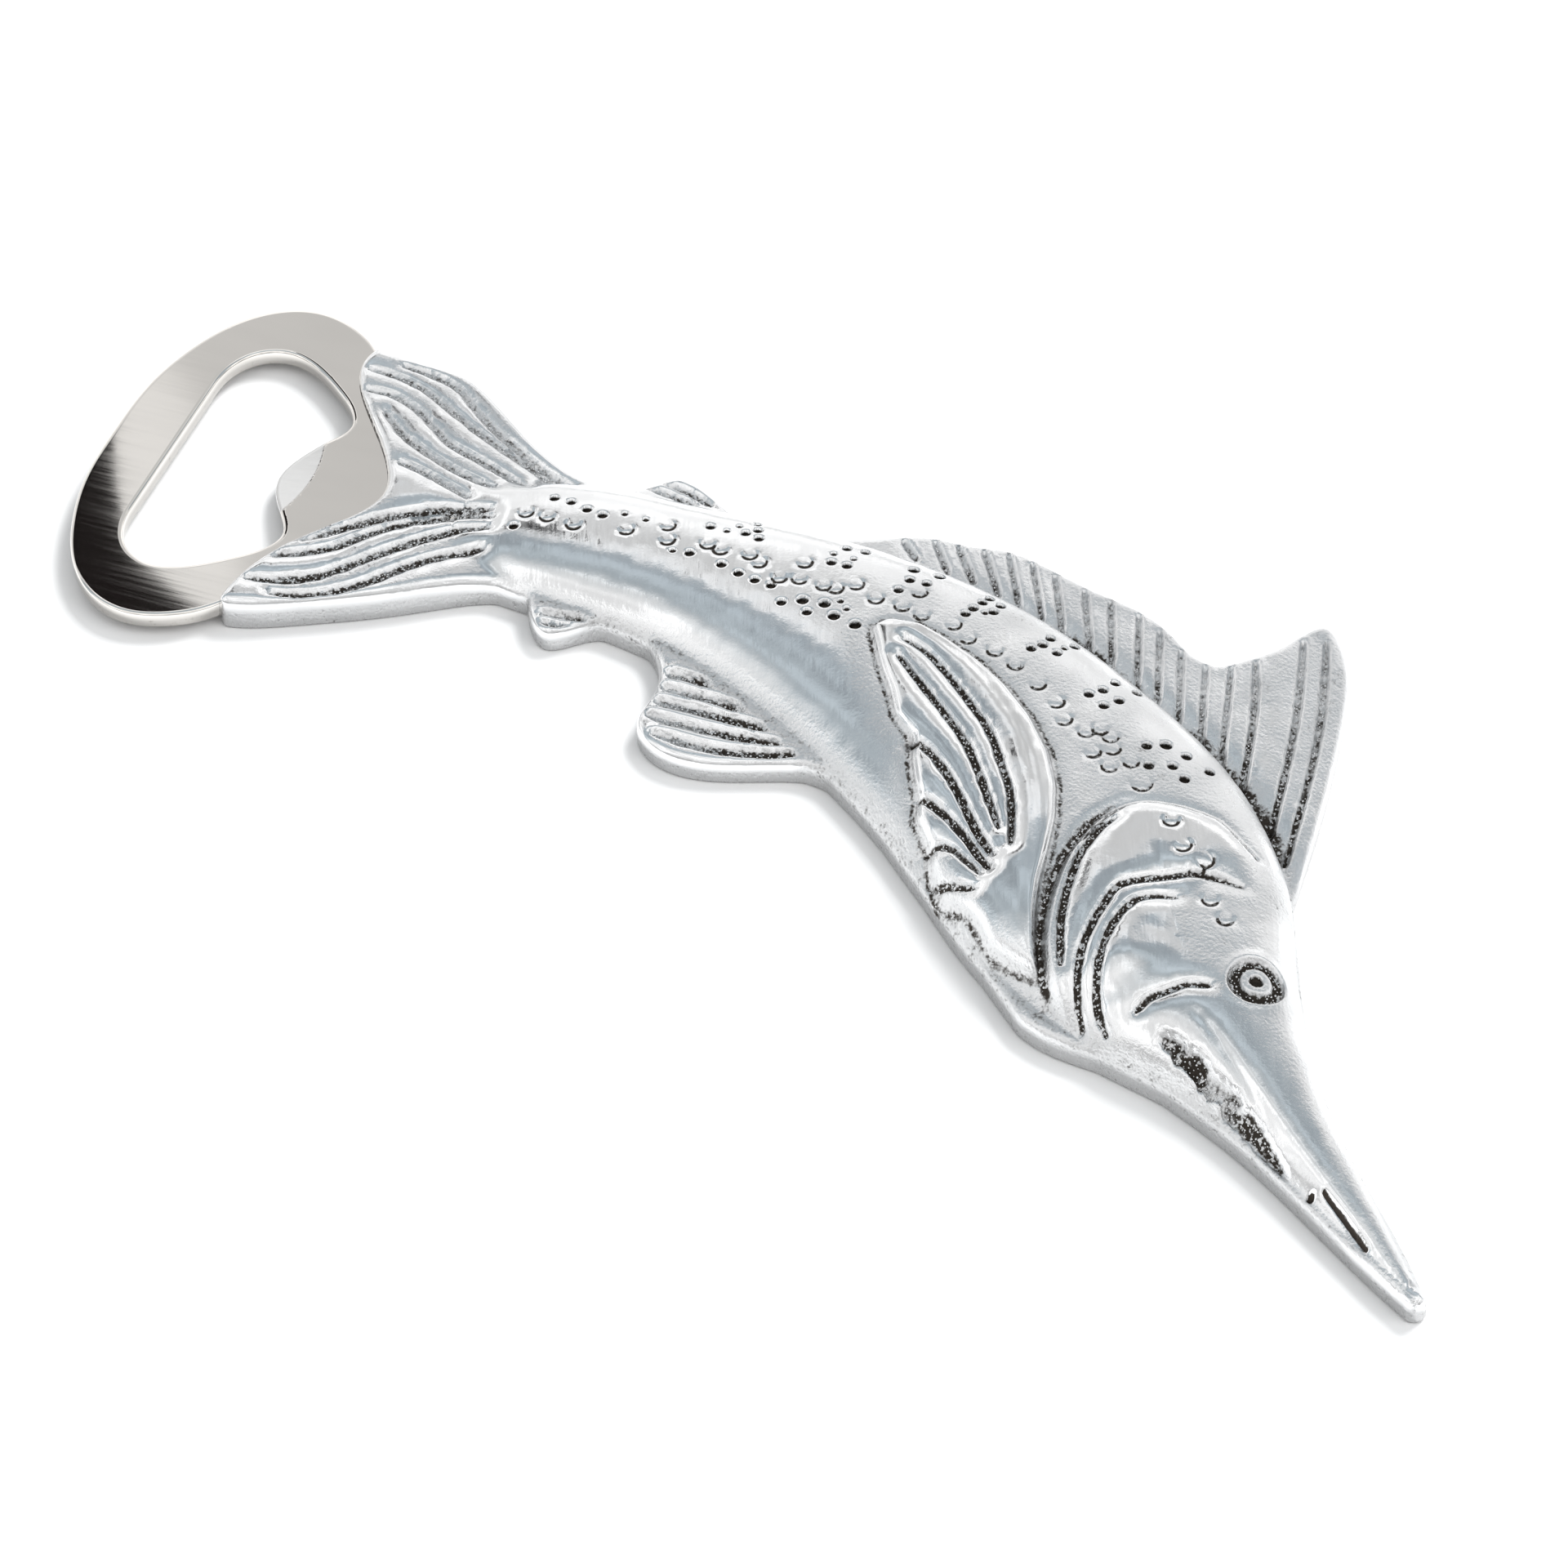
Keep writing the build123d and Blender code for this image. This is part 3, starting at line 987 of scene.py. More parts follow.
@dataclass
class FishCasting:
    """The fish: a sand-cast aluminium body with fins, polished where it stands proud.

    Args:
        drawing: the drawing frame.
        node: name of the CAD node that it stands for.
    """

    drawing: Drawing
    node: str = "fish_handle"
    fin_level: float = 3.6
    tail_level: float = 4.6
    tail_end: float = 52.0
    edge_radius: float = 1.2
    blend_width: float = 1.0
    pectoral_relief: float = 1.35
    gill_relief: float = 0.95
    valley_depth: float = 1.0
    swell: dict[Place, float] = field(default_factory=lambda: {
        Place.TAIL: 0.34, Place.FIN: 0.24, Place.FEATHER: 0.5, Place.GILL: 0.34, Place.MOUTH: 0.2,
    })
    rim_spacing: float = 0.42
    base_spacing: float = 0.52
    ring_insets: tuple[float, ...] = (0.05, 0.17, 0.36, 0.62, 0.95, 1.3)
    pit_rows: tuple[float, ...] = (0.34, 0.62, 0.82, 0.98, 1.16, 1.5)
    crescent_rows: tuple[float, ...] = (0.45, 0.68, 0.86, 1.02, 1.22, 1.5)
    close_spacing: float = 0.12
    clear_spacing: float = 0.36
    body: Body = field(default_factory=Body)
    marks: Markings = field(default_factory=Markings)
    pectoral: Path = (
        (98.1, -6.4), (99.6, -4.6), (103.4, -4.2), (106.9, -5.5), (111.6, -7.9), (115.8, -10.8),
        (119.9, -14.6), (123.4, -19.1), (125.8, -23.8), (127.2, -28.5), (127.9, -33.2), (128.3, -37.3),
        (129, -40.8), (130.2, -44.4), (131.7, -47.8), (128.6, -46.7), (125.3, -45), (123, -42.4),
        (121, -40.8), (118, -39.6),
        (116.3, -37.3), (115.5, -36.1), (114.9, -34.2), (113.7, -32.9), (111.9, -30.8), (111.2, -28),
        (110.2, -26.4), (109, -23.8), (108.2, -20.9), (105.2, -18.5), (103.4, -15.2), (101.6, -12.6),
        (100.2, -10.2), (99, -7.9),
    )
    gill_edge: Path = (
        (151.4, -27.2), (149.3, -25.5), (146.9, -24.1), (144, -22.3), (141.1, -21.9), (138.1, -22),
        (135.2, -22.7), (133.1, -24.4), (131.35, -27.3), (130.5, -30.2), (130, -33.8), (130, -37.3),
        (130.35, -40.8), (131.1, -44.4), (132.5, -47.3), (133.7, -49.1), (136.4, -52.6),
    )

    def build(self) -> bpy.types.Object:
        """Builds the casting's mesh.

        Returns:
            The linked object, with point attributes "recess", "rough", "satin" and "side".
        """
        back_face = flat_face_loops(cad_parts[self.node], self.drawing, 0.0)[0]
        self.rim = soften_loop(back_face, self.rim_spacing, 0.3)
        self.pectoral_line = soften_loop(np.array(self.pectoral), 0.26, 0.5)
        self.gill_line = smooth_path(self.gill_edge, 0.26)
        self.grain = Grain(7)
        # On the walls "side" paints shade and "recess" adds patina and painted shade; "rough" is their cast
        # roughness.
        return build_slab(
            "fish_casting", self.drawing, [self.rim], self.plan_points(), self.relief,
            SlabEdge(foot=0.0, round_off=0.35, wall={"rough": 0.6, "recess": 0.45, "side": 1.0}),
        )

    def plan_points(self) -> Array:
        """Chooses the plan points: close together at edges, grooves and punch marks.

        Returns:
            Plan points inside the rim.
        """
        rings = edge_rings([self.rim], self.ring_insets)
        strips = []
        for groove in self.marks.grooves:
            half = groove.width / 2
            rows = [0.0]
            for offset in (half - 0.34, half - 0.12, half + 0.12, half + 0.42):
                rows += [offset, -offset]
            strips.append(strip_points(groove.line(), sorted(set(rows))))
        step_rows = (-1.0, -0.7, -0.48, -0.3, -0.14, 0.0, 0.14, 0.3, 0.46, 0.64, 0.84, 1.1, 1.4)
        strips.append(strip_points(self.pectoral_line, step_rows))
        strips.append(strip_points(self.gill_line, step_rows))
        back_edge = evenly(self.body.rails[:, :2], 0.3)
        strips.append(strip_points(back_edge, (-1.5, -1.05, -0.7, -0.42, -0.2, 0.0, 0.25, 0.6)))
        marks = []
        for punch in self.marks.punches:
            shares = self.crescent_rows if punch.ring else self.pit_rows
            marks.append(np.array([[punch.x, punch.y]]))
            for share in shares:
                count = max(7, int(share * punch.radius * 24))
                turn = np.arange(count) * 2 * math.pi / count
                circle = np.stack([np.cos(turn), np.sin(turn)], -1)
                marks.append(np.array([punch.x, punch.y]) + circle * share * punch.radius)
        eye = np.array(self.marks.eye)
        eye_grid = hex_grid(eye - 4.2, eye + 4.2, 0.2)
        eye_grid = eye_grid[np.hypot(*(eye_grid - eye).T) < 3.9]
        close = thin_out(np.vstack([*marks, eye_grid, *strips]), self.close_spacing)
        base = hex_grid(self.rim.min(0), self.rim.max(0), self.base_spacing)
        taken = cell_keys(close, self.clear_spacing)
        base = base[~np.isin(cell_keys(base, self.clear_spacing), taken)]
        points = np.vstack([close, base])
        points = points[inside(points, self.rim)]
        gap = rim_distance(points, [self.rim])
        points = points[gap > 0.55 * self.ring_insets[-1]]
        return thin_out(np.vstack([rings, points]), 0.1)

    def relief(self, points: Array) -> dict[str, Array]:
        """Height and finish of the upper face.

        Args:
            points: plan points.

        Returns:
            Heights "z", patina and painted shade in recesses "recess", cast roughness "rough", brushed back
            "satin" and the walls' painted shade "side", which is 0 here.
        """
        x = points[:, 0]
        dome, across, width = self.body.rise(points)
        coarse, fine = self.grain.at(points, 2.6), self.grain.at(points + 31, 0.42)
        tail = ramp(x, self.tail_end + 5, self.tail_end - 7)
        plate = self.fin_level + (self.tail_level - self.fin_level) * tail
        beyond = (np.abs(across) - 1) * width
        valley = np.exp(-((beyond - 0.7) / 2.1) ** 2) * (beyond > -1.5) * ramp(x, 96, 114)
        valley *= across > 0
        plate = plate - self.valley_depth * valley - 0.05 * coarse * tail
        z = soft_max(dome, plate, self.blend_width)
        # Along the root of the long back fin the valley is painted dark: patina, with painted shade where the
        # fin meets the body.
        root = np.exp(-((beyond - 0.7) / 1.9) ** 2) * ramp(beyond, -0.7, 0.0) * (across > 0)
        recess = root * ramp(x, 100, 124) * ramp(x, 153, 149) * np.clip(0.95 + 0.5 * coarse, 0, 1.3)
        rough = np.clip(0.9 * valley, 0, 1)
        on_fin = 1 - ramp(dome, plate - 0.6, plate + 0.8)

        gill_gap, gill_at = measure_to(points, self.gill_line, 14.0)
        head = ramp(gill_gap, -0.35, 0.75) * ramp(gill_at, 0, 0.14) * ramp(gill_at, 1, 0.9)
        z += self.gill_relief * head * ramp(gill_gap, 14, 6)
        behind = np.exp(-((gill_gap + 0.55) / 0.7) ** 2) * ramp(gill_at, 0.3, 0.5) * ramp(gill_at, 1, 0.88)
        z -= 0.55 * behind
        recess = np.maximum(recess, behind)
        rough = np.maximum(rough, behind)

        loop = np.vstack([self.pectoral_line, self.pectoral_line[:1]])
        fin_gap = np.abs(measure_to(points, loop, 6.0)[0])
        fin_gap = np.where(inside(points, self.pectoral_line), fin_gap, -fin_gap)
        raised = ramp(fin_gap, -0.25, 0.8)
        z += self.pectoral_relief * raised * (0.86 + 0.14 * ramp(fin_gap, 0.4, 2.2))
        foot = np.exp(-((fin_gap + 0.45) / 0.55) ** 2)
        z -= 0.16 * foot
        recess = np.maximum(recess, 0.75 * foot)
        around = np.exp(-(np.clip(-fin_gap, 0, None) / 3.0) ** 2) * (fin_gap < 0.2)
        rough = np.maximum(rough, 0.8 * around)
        upper = ramp(across, -0.35, 0.1) * ramp(x, 82, 104) * (1 - raised) * (1 - head)
        rough = np.maximum(rough, upper * (0.46 + 0.36 * self.grain.at(points + 71, 4.0)))

        rim_gap = rim_distance(points, [self.rim])
        inland = ramp(rim_gap, 0.15, 1.2)
        for groove in self.marks.grooves:
            line = groove.line()
            gap, at = measure_to(points, line, GROOVE_REACH)
            half = groove.half_width(at)
            if groove.place is Place.CREASE:
                z -= groove.depth * np.exp(-((gap / (0.55 * groove.width)) ** 2)) * (half / half.max())
                recess = np.maximum(recess, groove.grime_and_shade * np.exp(-((gap / 0.22) ** 2)))
                continue
            ragged = 0.36 if groove.place is Place.MOUTH else 0.12
            edge = np.abs(gap) - ragged * self.grain.at(points + 57, 1.1) * half
            floor = (1 - ramp(edge, half - 0.2, half + 0.2)) * inland
            if groove.place is Place.FIN:
                z += 0.26 * np.exp(-(((gap - half - 0.4) / 0.34) ** 2)) * (gap < GROOVE_REACH - 0.01) * inland
            shoulder = np.exp(-((gap / (half + 0.85)) ** 2)) * (np.abs(gap) < GROOVE_REACH - 0.01) * inland
            z -= floor * (groove.depth + 0.16 * fine) + self.swell[groove.place] * shoulder
            # Fin groove floors are painted darker towards the body: patina, with painted shade at the fin
            # root. The mouth's floor is darker at its start.
            shade = {Place.FIN: 0.6 + 0.5 * at, Place.MOUTH: 0.85 + 0.4 * coarse - 0.3 * at}
            recess = np.maximum(recess, floor * groove.grime_and_shade * shade.get(groove.place, 1.0))
            rough = np.maximum(rough, floor)

        z, recess = self._punch(points, z, recess)
        z, recess, rough = self._eye(points, z, recess, rough, fine)
        ripple = 0.03 * self.grain.at(points + 11, 4.2) + 0.014 * self.grain.at(points + 91, 1.5)
        z += ripple - edge_drop(rim_gap, self.edge_radius)
        # Where the tail's fork laps over the plate, the rim is painted dark: patina and a painted contact
        # shadow.
        seam = (rim_gap < 0.15) & self._over_plate(points)
        recess = np.maximum(recess, seam * 0.8)
        flank = ramp(-across, 0.8, 0.98) * ramp(-across, 1.2, 1.02) * ramp(x, 52, 60)
        rough = np.maximum(rough, 0.85 * flank)
        rough = np.maximum(rough, 0.35 * on_fin * (x < 60) * ramp(coarse, -0.2, 0.6))
        back = ramp(across, -0.1, 0.2) * (1 - raised) * (1 - head)
        return {
            "z": z,
            "recess": np.clip(np.maximum(recess, 0.62 * rough), 0, 1.6),
            "rough": np.clip(rough, 0, 1),
            "satin": np.clip(back, 0, 1),
            "side": np.zeros(len(points)),
        }

    def _over_plate(self, points: Array) -> Array:
        """Says where the fork of the tail laps over the steel plate.

        Args:
            points: plan points.

        Returns:
            One truth value for each point.
        """
        low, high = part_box("opener_plate")
        half = (high.y - low.y) / 2 / MM
        return (np.abs(points[:, 1]) < 0.6 * half) & (points[:, 0] < 36)

    def _punch(self, points: Array, z: Array, recess: Array) -> tuple[Array, Array]:
        """Sinks the pits and crescents.

        Args:
            points: plan points.
            z: heights.
            recess: dark recesses.

        Returns:
            The new heights and recesses.
        """
        for k, punch in enumerate(self.marks.punches):
            gap = points - np.array([punch.x, punch.y])
            near = np.flatnonzero((np.abs(gap) < 2.2 * punch.radius).all(1))
            far = np.hypot(gap[near, 0], gap[near, 1])
            if punch.ring:
                lean = math.radians(-62 + 26 * math.sin(5.1 * k))
                turn = np.cos(np.arctan2(gap[near, 1], gap[near, 0]) - lean)
                cut = np.exp(-(((far - punch.radius) / 0.24) ** 2)) * ramp(turn, -0.85, 0.5)
                cap = np.clip(1 - (far / punch.radius) ** 2, 0, 1)
                z[near] += 0.02 * cap - 0.27 * cut
                recess[near] = np.maximum(recess[near], 1.15 * cut * ramp(turn, -0.5, 0.4))
            else:
                cut = 1 - ramp(far, 0.66 * punch.radius, 1.06 * punch.radius)
                z[near] -= 1.5 * punch.radius * cut
                recess[near] = np.maximum(recess[near], 1.6 * cut)
        return z, recess

    def _eye(
        self, points: Array, z: Array, recess: Array, rough: Array, fine: Array
    ) -> tuple[Array, Array, Array]:
        """Cuts the eye's ring, boss and pupil.

        Args:
            points: plan points.
            z: heights.
            recess: dark recesses.
            rough: cast roughness.
            fine: fine noise.

        Returns:
            The new heights, recesses and roughness.
        """
        m = self.marks
        far = np.hypot(*(points - np.array(m.eye)).T)
        ring = ramp(far, m.eye_boss - 0.2, m.eye_boss + 0.25)
        ring *= ramp(far, m.eye_radius + 0.2, m.eye_radius - 0.35)
        pupil = 1 - ramp(far, m.pupil - 0.15, m.pupil + 0.18)
        lip = np.exp(-(((far - m.eye_radius - 0.3) / 0.45) ** 2))
        z = z - ring * (0.75 + 0.12 * fine) - 0.7 * pupil + 0.16 * lip
        slot = np.exp(-(((far - m.eye_boss - 0.45) / 0.35) ** 2))
        recess = np.maximum(recess, np.maximum(0.8 * ring + 0.5 * slot, 1.5 * pupil))
        return z, recess, np.maximum(rough, ring)


@dataclass
class CapLifter:
    """The stamped stainless steel ring with its tooth, and the tang that the tail is cast round.

    Args:
        drawing: the drawing frame.
        node: name of the CAD node that it stands for.
    """

    drawing: Drawing
    node: str = "opener_plate"
    edge_radius: float = 0.3
    foot_round: float = 0.2
    bevel_start: float = 25.8
    bevel_bend: float = 0.028
    bevel_slope: float = 0.2
    tooth_half: float = 9.0

    def build(self) -> bpy.types.Object:
        """Builds the plate's mesh.

        Returns:
            The linked object.
        """
        low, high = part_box(self.node)
        self.foot, self.level = low.z / MM, high.z / MM
        found = flat_face_loops(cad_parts[self.node], self.drawing, self.foot)
        self.loops = [soften_loop(loop, 0.4, 0.12) for loop in found]
        rings = edge_rings(self.loops, (0.02, 0.08, 0.17, 0.3, 0.6))
        base = hex_grid(self.loops[0].min(0), self.loops[0].max(0), 1.1)
        tooth = hex_grid(np.array([20.0, -self.tooth_half]), np.array([28.0, self.tooth_half]), 0.26)
        rows = np.arange(-self.tooth_half, self.tooth_half, 0.26)
        line = np.stack([self.bevel_start - self.bevel_bend * rows**2, rows], -1)
        arc = strip_points(line, (-0.12, 0.0, 0.12))
        inner = thin_out(np.vstack([arc, tooth, base]), 0.1)
        held = inside(inner, self.loops[0])
        for hole in self.loops[1:]:
            held &= ~inside(inner, hole)
        inner = inner[held]
        inner = inner[rim_distance(inner, self.loops) > 0.66]
        # The plate's walls carry "cut", which paints shade on them in the steel's material.
        return build_slab(
            "cap_lifter", self.drawing, self.loops, thin_out(np.vstack([rings, inner]), 0.015), self.relief,
            SlabEdge(foot=self.foot, round_off=self.foot_round, rows=2, wall={"cut": 1.0}),
        )

    def relief(self, points: Array) -> dict[str, Array]:
        """Height of the upper face, with the ground bevel on the tooth.

        Args:
            points: plan points.

        Returns:
            Heights "z", the ground part "ground" and the walls' painted shade "cut", which is 0 here.
        """
        drop = edge_drop(rim_distance(points, self.loops), self.edge_radius)
        past = self.bevel_start - self.bevel_bend * points[:, 1] ** 2 - points[:, 0]
        tooth = (np.abs(points[:, 1]) < self.tooth_half) * (points[:, 0] > 20.0)
        ground = tooth * ramp(past, -0.06, 0.1)
        z = self.level - drop - tooth * self.bevel_slope * np.clip(past, 0, None)
        return {"z": z, "ground": ground, "cut": np.zeros(len(points))}


# ---------------------------------------------------------------- finishes


@dataclass(frozen=True)
class Finish:
    """A metal finish.

    Args:
        colour: base colour.
        dark: colour of the patina and painted shade in the recesses.
        roughness: roughness where it is polished.
        scratch: strength of the polishing lines.
        grain: strength of the cast or etched grain.
    """

    colour: tuple[float, float, float]
    dark: tuple[float, float, float]
    roughness: float
    scratch: float
    grain: float = 0.0


POLISHED_CASTING = Finish((0.88, 0.885, 0.89), (0.055, 0.047, 0.04), 0.11, 0.26, 0.9)
BRUSHED_STEEL = Finish((0.89, 0.86, 0.82), (0.16, 0.13, 0.10), 0.03, 0.011)


class NodeBook:
    """Short helper that adds and joins the nodes of one tree."""

    def __init__(self, tree: bpy.types.NodeTree) -> None:
        """Starts from a tree with nothing in it."""
        self.tree = tree
        tree.nodes.clear()

    def add(self, kind: str, **settings: object) -> bpy.types.Node:
        """Adds a node.

        Args:
            kind: the node's type name.
            settings: its properties.

        Returns:
            The node.
        """
        node = self.tree.nodes.new(kind)
        for key, value in settings.items():
            setattr(node, key, value)
        return node

    def feed(self, socket: bpy.types.NodeSocket, source: object) -> None:
        """Joins a socket to another one, or gives it a value.

        Args:
            socket: the input to fill.
            source: another node's output, or a constant.
        """
        if isinstance(source, bpy.types.NodeSocket):
            self.tree.links.new(source, socket)
        else:
            socket.default_value = source

    def math(self, operation: str, a: object, b: object = 0.0, clamp: bool = False) -> bpy.types.NodeSocket:
        """Adds a Math node.

        Args:
            operation: what it works out.
            a: first number or socket.
            b: second number or socket.
            clamp: whether the result is kept from 0 to 1.

        Returns:
            The result's socket.
        """
        node = self.add("ShaderNodeMath", operation=operation, use_clamp=clamp)
        self.feed(node.inputs[0], a)
        self.feed(node.inputs[1], b)
        return node.outputs[0]

    def mix(self, share: object, a: object, b: object) -> bpy.types.NodeSocket:
        """Adds a colour Mix node.

        Args:
            share: how much of the second colour there is.
            a: first colour or socket.
            b: second colour or socket.

        Returns:
            The result's socket.
        """
        node = self.add("ShaderNodeMix", data_type="RGBA")
        self.feed(node.inputs[0], share)
        for socket, value in ((node.inputs[6], a), (node.inputs[7], b)):
            self.feed(socket, (*value, 1.0) if isinstance(value, tuple) else value)
        return node.outputs[2]

    def noise(self, vector: object, scale: float, detail: float = 2.0) -> bpy.types.NodeSocket:
        """Adds a Noise Texture.

        Args:
            vector: where it is read.
            scale: bumps per metre.
            detail: how many finer layers it has.

        Returns:
            The value's socket.
        """
        node = self.add("ShaderNodeTexNoise")
        self.feed(node.inputs["Vector"], vector)
        node.inputs["Scale"].default_value = scale
        node.inputs["Detail"].default_value = detail
        return node.outputs["Fac"]

    def stretch(
        self, vector: object, scale: tuple[float, float, float], turn: float = 0.0
    ) -> bpy.types.NodeSocket:
        """Turns a vector, then scales it, so that texture is drawn out along the small scales.

        Args:
            vector: the vector's socket.
            scale: scale along each axis.
            turn: turn about z, in radians.

        Returns:
            The new vector's socket.
        """
        node = self.add("ShaderNodeMapping", vector_type="TEXTURE")
        self.feed(node.inputs["Vector"], vector)
        node.inputs["Rotation"].default_value = (0, 0, -turn)
        node.inputs["Scale"].default_value = tuple(1 / s for s in scale)
        return node.outputs[0]

    def range(
        self, value: object, low: object, high: object, to: tuple[float, float] = (0, 1)
    ) -> bpy.types.NodeSocket:
        """Adds a smooth Map Range node.

        Args:
            value: what is graded.
            low: where the result is the first end.
            high: where the result is the second end.
            to: the result's two ends.

        Returns:
            The result's socket.
        """
        node = self.add("ShaderNodeMapRange", interpolation_type="SMOOTHSTEP")
        self.feed(node.inputs["Value"], value)
        self.feed(node.inputs["From Min"], low)
        self.feed(node.inputs["From Max"], high)
        node.inputs["To Min"].default_value, node.inputs["To Max"].default_value = to
        return node.outputs["Result"]


def new_group(name: str, inputs: dict[str, str], outputs: dict[str, str]) -> tuple[NodeBook, object, object]:
    """Starts a shader group with named sockets.

    Args:
        name: the group's name.
        inputs: names and kinds of its inputs.
        outputs: names and kinds of its outputs.

    Returns:
        The node helper, the group's input node and its output node.
    """
    tree = bpy.data.node_groups.new(name, "ShaderNodeTree")
    for socket, kind in inputs.items():
        tree.interface.new_socket(socket, in_out="INPUT", socket_type=kind)
    for socket, kind in outputs.items():
        tree.interface.new_socket(socket, in_out="OUTPUT", socket_type=kind)
    book = NodeBook(tree)
    return book, book.add("NodeGroupInput"), book.add("NodeGroupOutput")


class MetalEffects:
    """Shader groups that both metals use: polishing lines, and grime and painted shade in recesses."""

    def __init__(self) -> None:
        """Builds each group once."""
        self.lines = self._polishing_lines()
        self.grime_and_shade = self._grime_and_shade()

    def _polishing_lines(self) -> bpy.types.NodeTree:
        """Fine lines from the polishing wheel or belt.

        Returns:
            A group that turns a stretched vector into a height and a spread of roughness.
        """
        book, given, made = new_group(
            "polishing_lines",
            {"Vector": "NodeSocketVector", "Amount": "NodeSocketFloat"},
            {"Height": "NodeSocketFloat", "Spread": "NodeSocketFloat"},
        )
        broad = book.noise(given.outputs["Vector"], 700.0, 2.0)
        narrow = book.noise(given.outputs["Vector"], 1900.0, 3.0)
        both = book.math("ADD", book.math("MULTIPLY", broad, 0.65), book.math("MULTIPLY", narrow, 0.35))
        book.feed(made.inputs["Height"], book.math("MULTIPLY", both, given.outputs["Amount"]))
        book.feed(made.inputs["Spread"], book.range(narrow, 0.35, 0.7))
        return book.tree

    def _grime_and_shade(self) -> bpy.types.NodeTree:
        """Dark casting skin and old polish left in recesses, with painted shade there too, broken up by clean
        bright grains.

        Returns:
            A group that turns a recess depth into a mask and a grain height.
        """
        book, given, made = new_group(
            "recess_grime_and_shade",
            {"Vector": "NodeSocketVector", "Recess": "NodeSocketFloat", "Rough": "NodeSocketFloat"},
            {"Mask": "NodeSocketFloat", "Height": "NodeSocketFloat"},
        )
        vector = given.outputs["Vector"]
        grains = book.noise(vector, 2600.0, 3.0)
        patches = book.noise(vector, 700.0, 2.0)
        specks = book.range(book.noise(vector, 1900.0, 4.0), 0.54, 0.6)
        broken = book.math("ADD", book.math("MULTIPLY", grains, 1.1), book.math("MULTIPLY", patches, 0.7))
        depth = book.math("MULTIPLY", given.outputs["Recess"], 1.55)
        mask = book.range(book.math("SUBTRACT", depth, broken), -0.12, 0.42)
        clean = book.math("SUBTRACT", 1.0, book.math("MULTIPLY", specks, given.outputs["Rough"]))
        shown = book.range(given.outputs["Recess"], 0.95, 1.15)
        clean = book.math("MAXIMUM", clean, shown, clamp=True)
        book.feed(made.inputs["Mask"], book.math("MULTIPLY", mask, clean, clamp=True))
        book.feed(made.inputs["Height"], book.math("ADD", grains, book.math("MULTIPLY", patches, 0.5)))
        return book.tree


def attribute(book: NodeBook, name: str) -> bpy.types.NodeSocket:
    """Reads one of a piece's own point attributes."""
    return book.add("ShaderNodeAttribute", attribute_name=name, attribute_type="GEOMETRY").outputs["Fac"]


def casting_material(finish: Finish, effects: MetalEffects) -> bpy.types.Material:
    """Polished cast aluminium with dark, rough recesses that hold patina and painted shade, and painted shade
    on its walls.

    Args:
        finish: colours and strengths.
        effects: the shared groups.

    Returns:
        The material.
    """
    material = bpy.data.materials.new("polished_casting")
    material.use_nodes = True
    book = NodeBook(material.node_tree)
    place = book.add("ShaderNodeTexCoord").outputs["Object"]
    recess, rough, satin, side = (attribute(book, n) for n in ("recess", "rough", "satin", "side"))
    grime_and_shade = book.add("ShaderNodeGroup", node_tree=effects.grime_and_shade)
    book.feed(grime_and_shade.inputs["Vector"], place)
    book.feed(grime_and_shade.inputs["Recess"], recess)
    book.feed(grime_and_shade.inputs["Rough"], rough)
    lines = book.add("ShaderNodeGroup", node_tree=effects.lines)
    book.feed(lines.inputs["Vector"], book.stretch(place, (1.0, 0.13, 0.3), math.radians(-20)))
    book.feed(lines.inputs["Amount"], finish.scratch)
    cloud = book.noise(place, 160.0, 2.0)
    tone = book.mix(book.range(cloud, 0.35, 0.7), finish.colour, tuple(0.95 * c for c in finish.colour))
    metal = book.add("ShaderNodeBsdfPrincipled")
    metal.inputs["Metallic"].default_value = 1.0
    skin_and_wall_shade = book.mix(book.math("MULTIPLY", rough, 0.55), tone, tuple(0.62 * c for c in finish.colour))
    # Painted shade on the walls: the "side" mark darkens them towards 0.6 of the base colour.
    skin_and_wall_shade = book.mix(book.math("MULTIPLY", side, 0.8), skin_and_wall_shade, tuple(0.6 * c for c in finish.colour))
    # The dark mask lays patina and painted shade into the base colour.
    book.feed(metal.inputs["Base Color"], book.mix(grime_and_shade.outputs["Mask"], skin_and_wall_shade, finish.dark))
    even = book.math("ADD", finish.roughness, book.math("MULTIPLY", satin, 0.05))
    worn = book.math("ADD", even, book.math("MULTIPLY", rough, 0.22))
    worn = book.math("ADD", worn, book.math("MULTIPLY", grime_and_shade.outputs["Mask"], 0.3))
    worn = book.math("ADD", worn, book.math("MULTIPLY", lines.outputs["Spread"], 0.05))
    book.feed(metal.inputs["Roughness"], worn)
    share = book.math("ADD", book.math("MULTIPLY", rough, finish.grain), 0.035)
    bumps = book.math("MULTIPLY", grime_and_shade.outputs["Height"], share)
    liquid = book.math("MULTIPLY", book.noise(place, 330.0, 1.0), 0.3)
    height = book.math("ADD", book.math("ADD", bumps, liquid), lines.outputs["Height"])
    bump = book.add("ShaderNodeBump")
    bump.inputs["Strength"].default_value = 1.0
    bump.inputs["Distance"].default_value = 0.00016
    book.feed(bump.inputs["Height"], height)
    book.feed(metal.inputs["Normal"], bump.outputs[0])
    book.feed(book.add("ShaderNodeOutputMaterial").inputs["Surface"], metal.outputs[0])
    return material


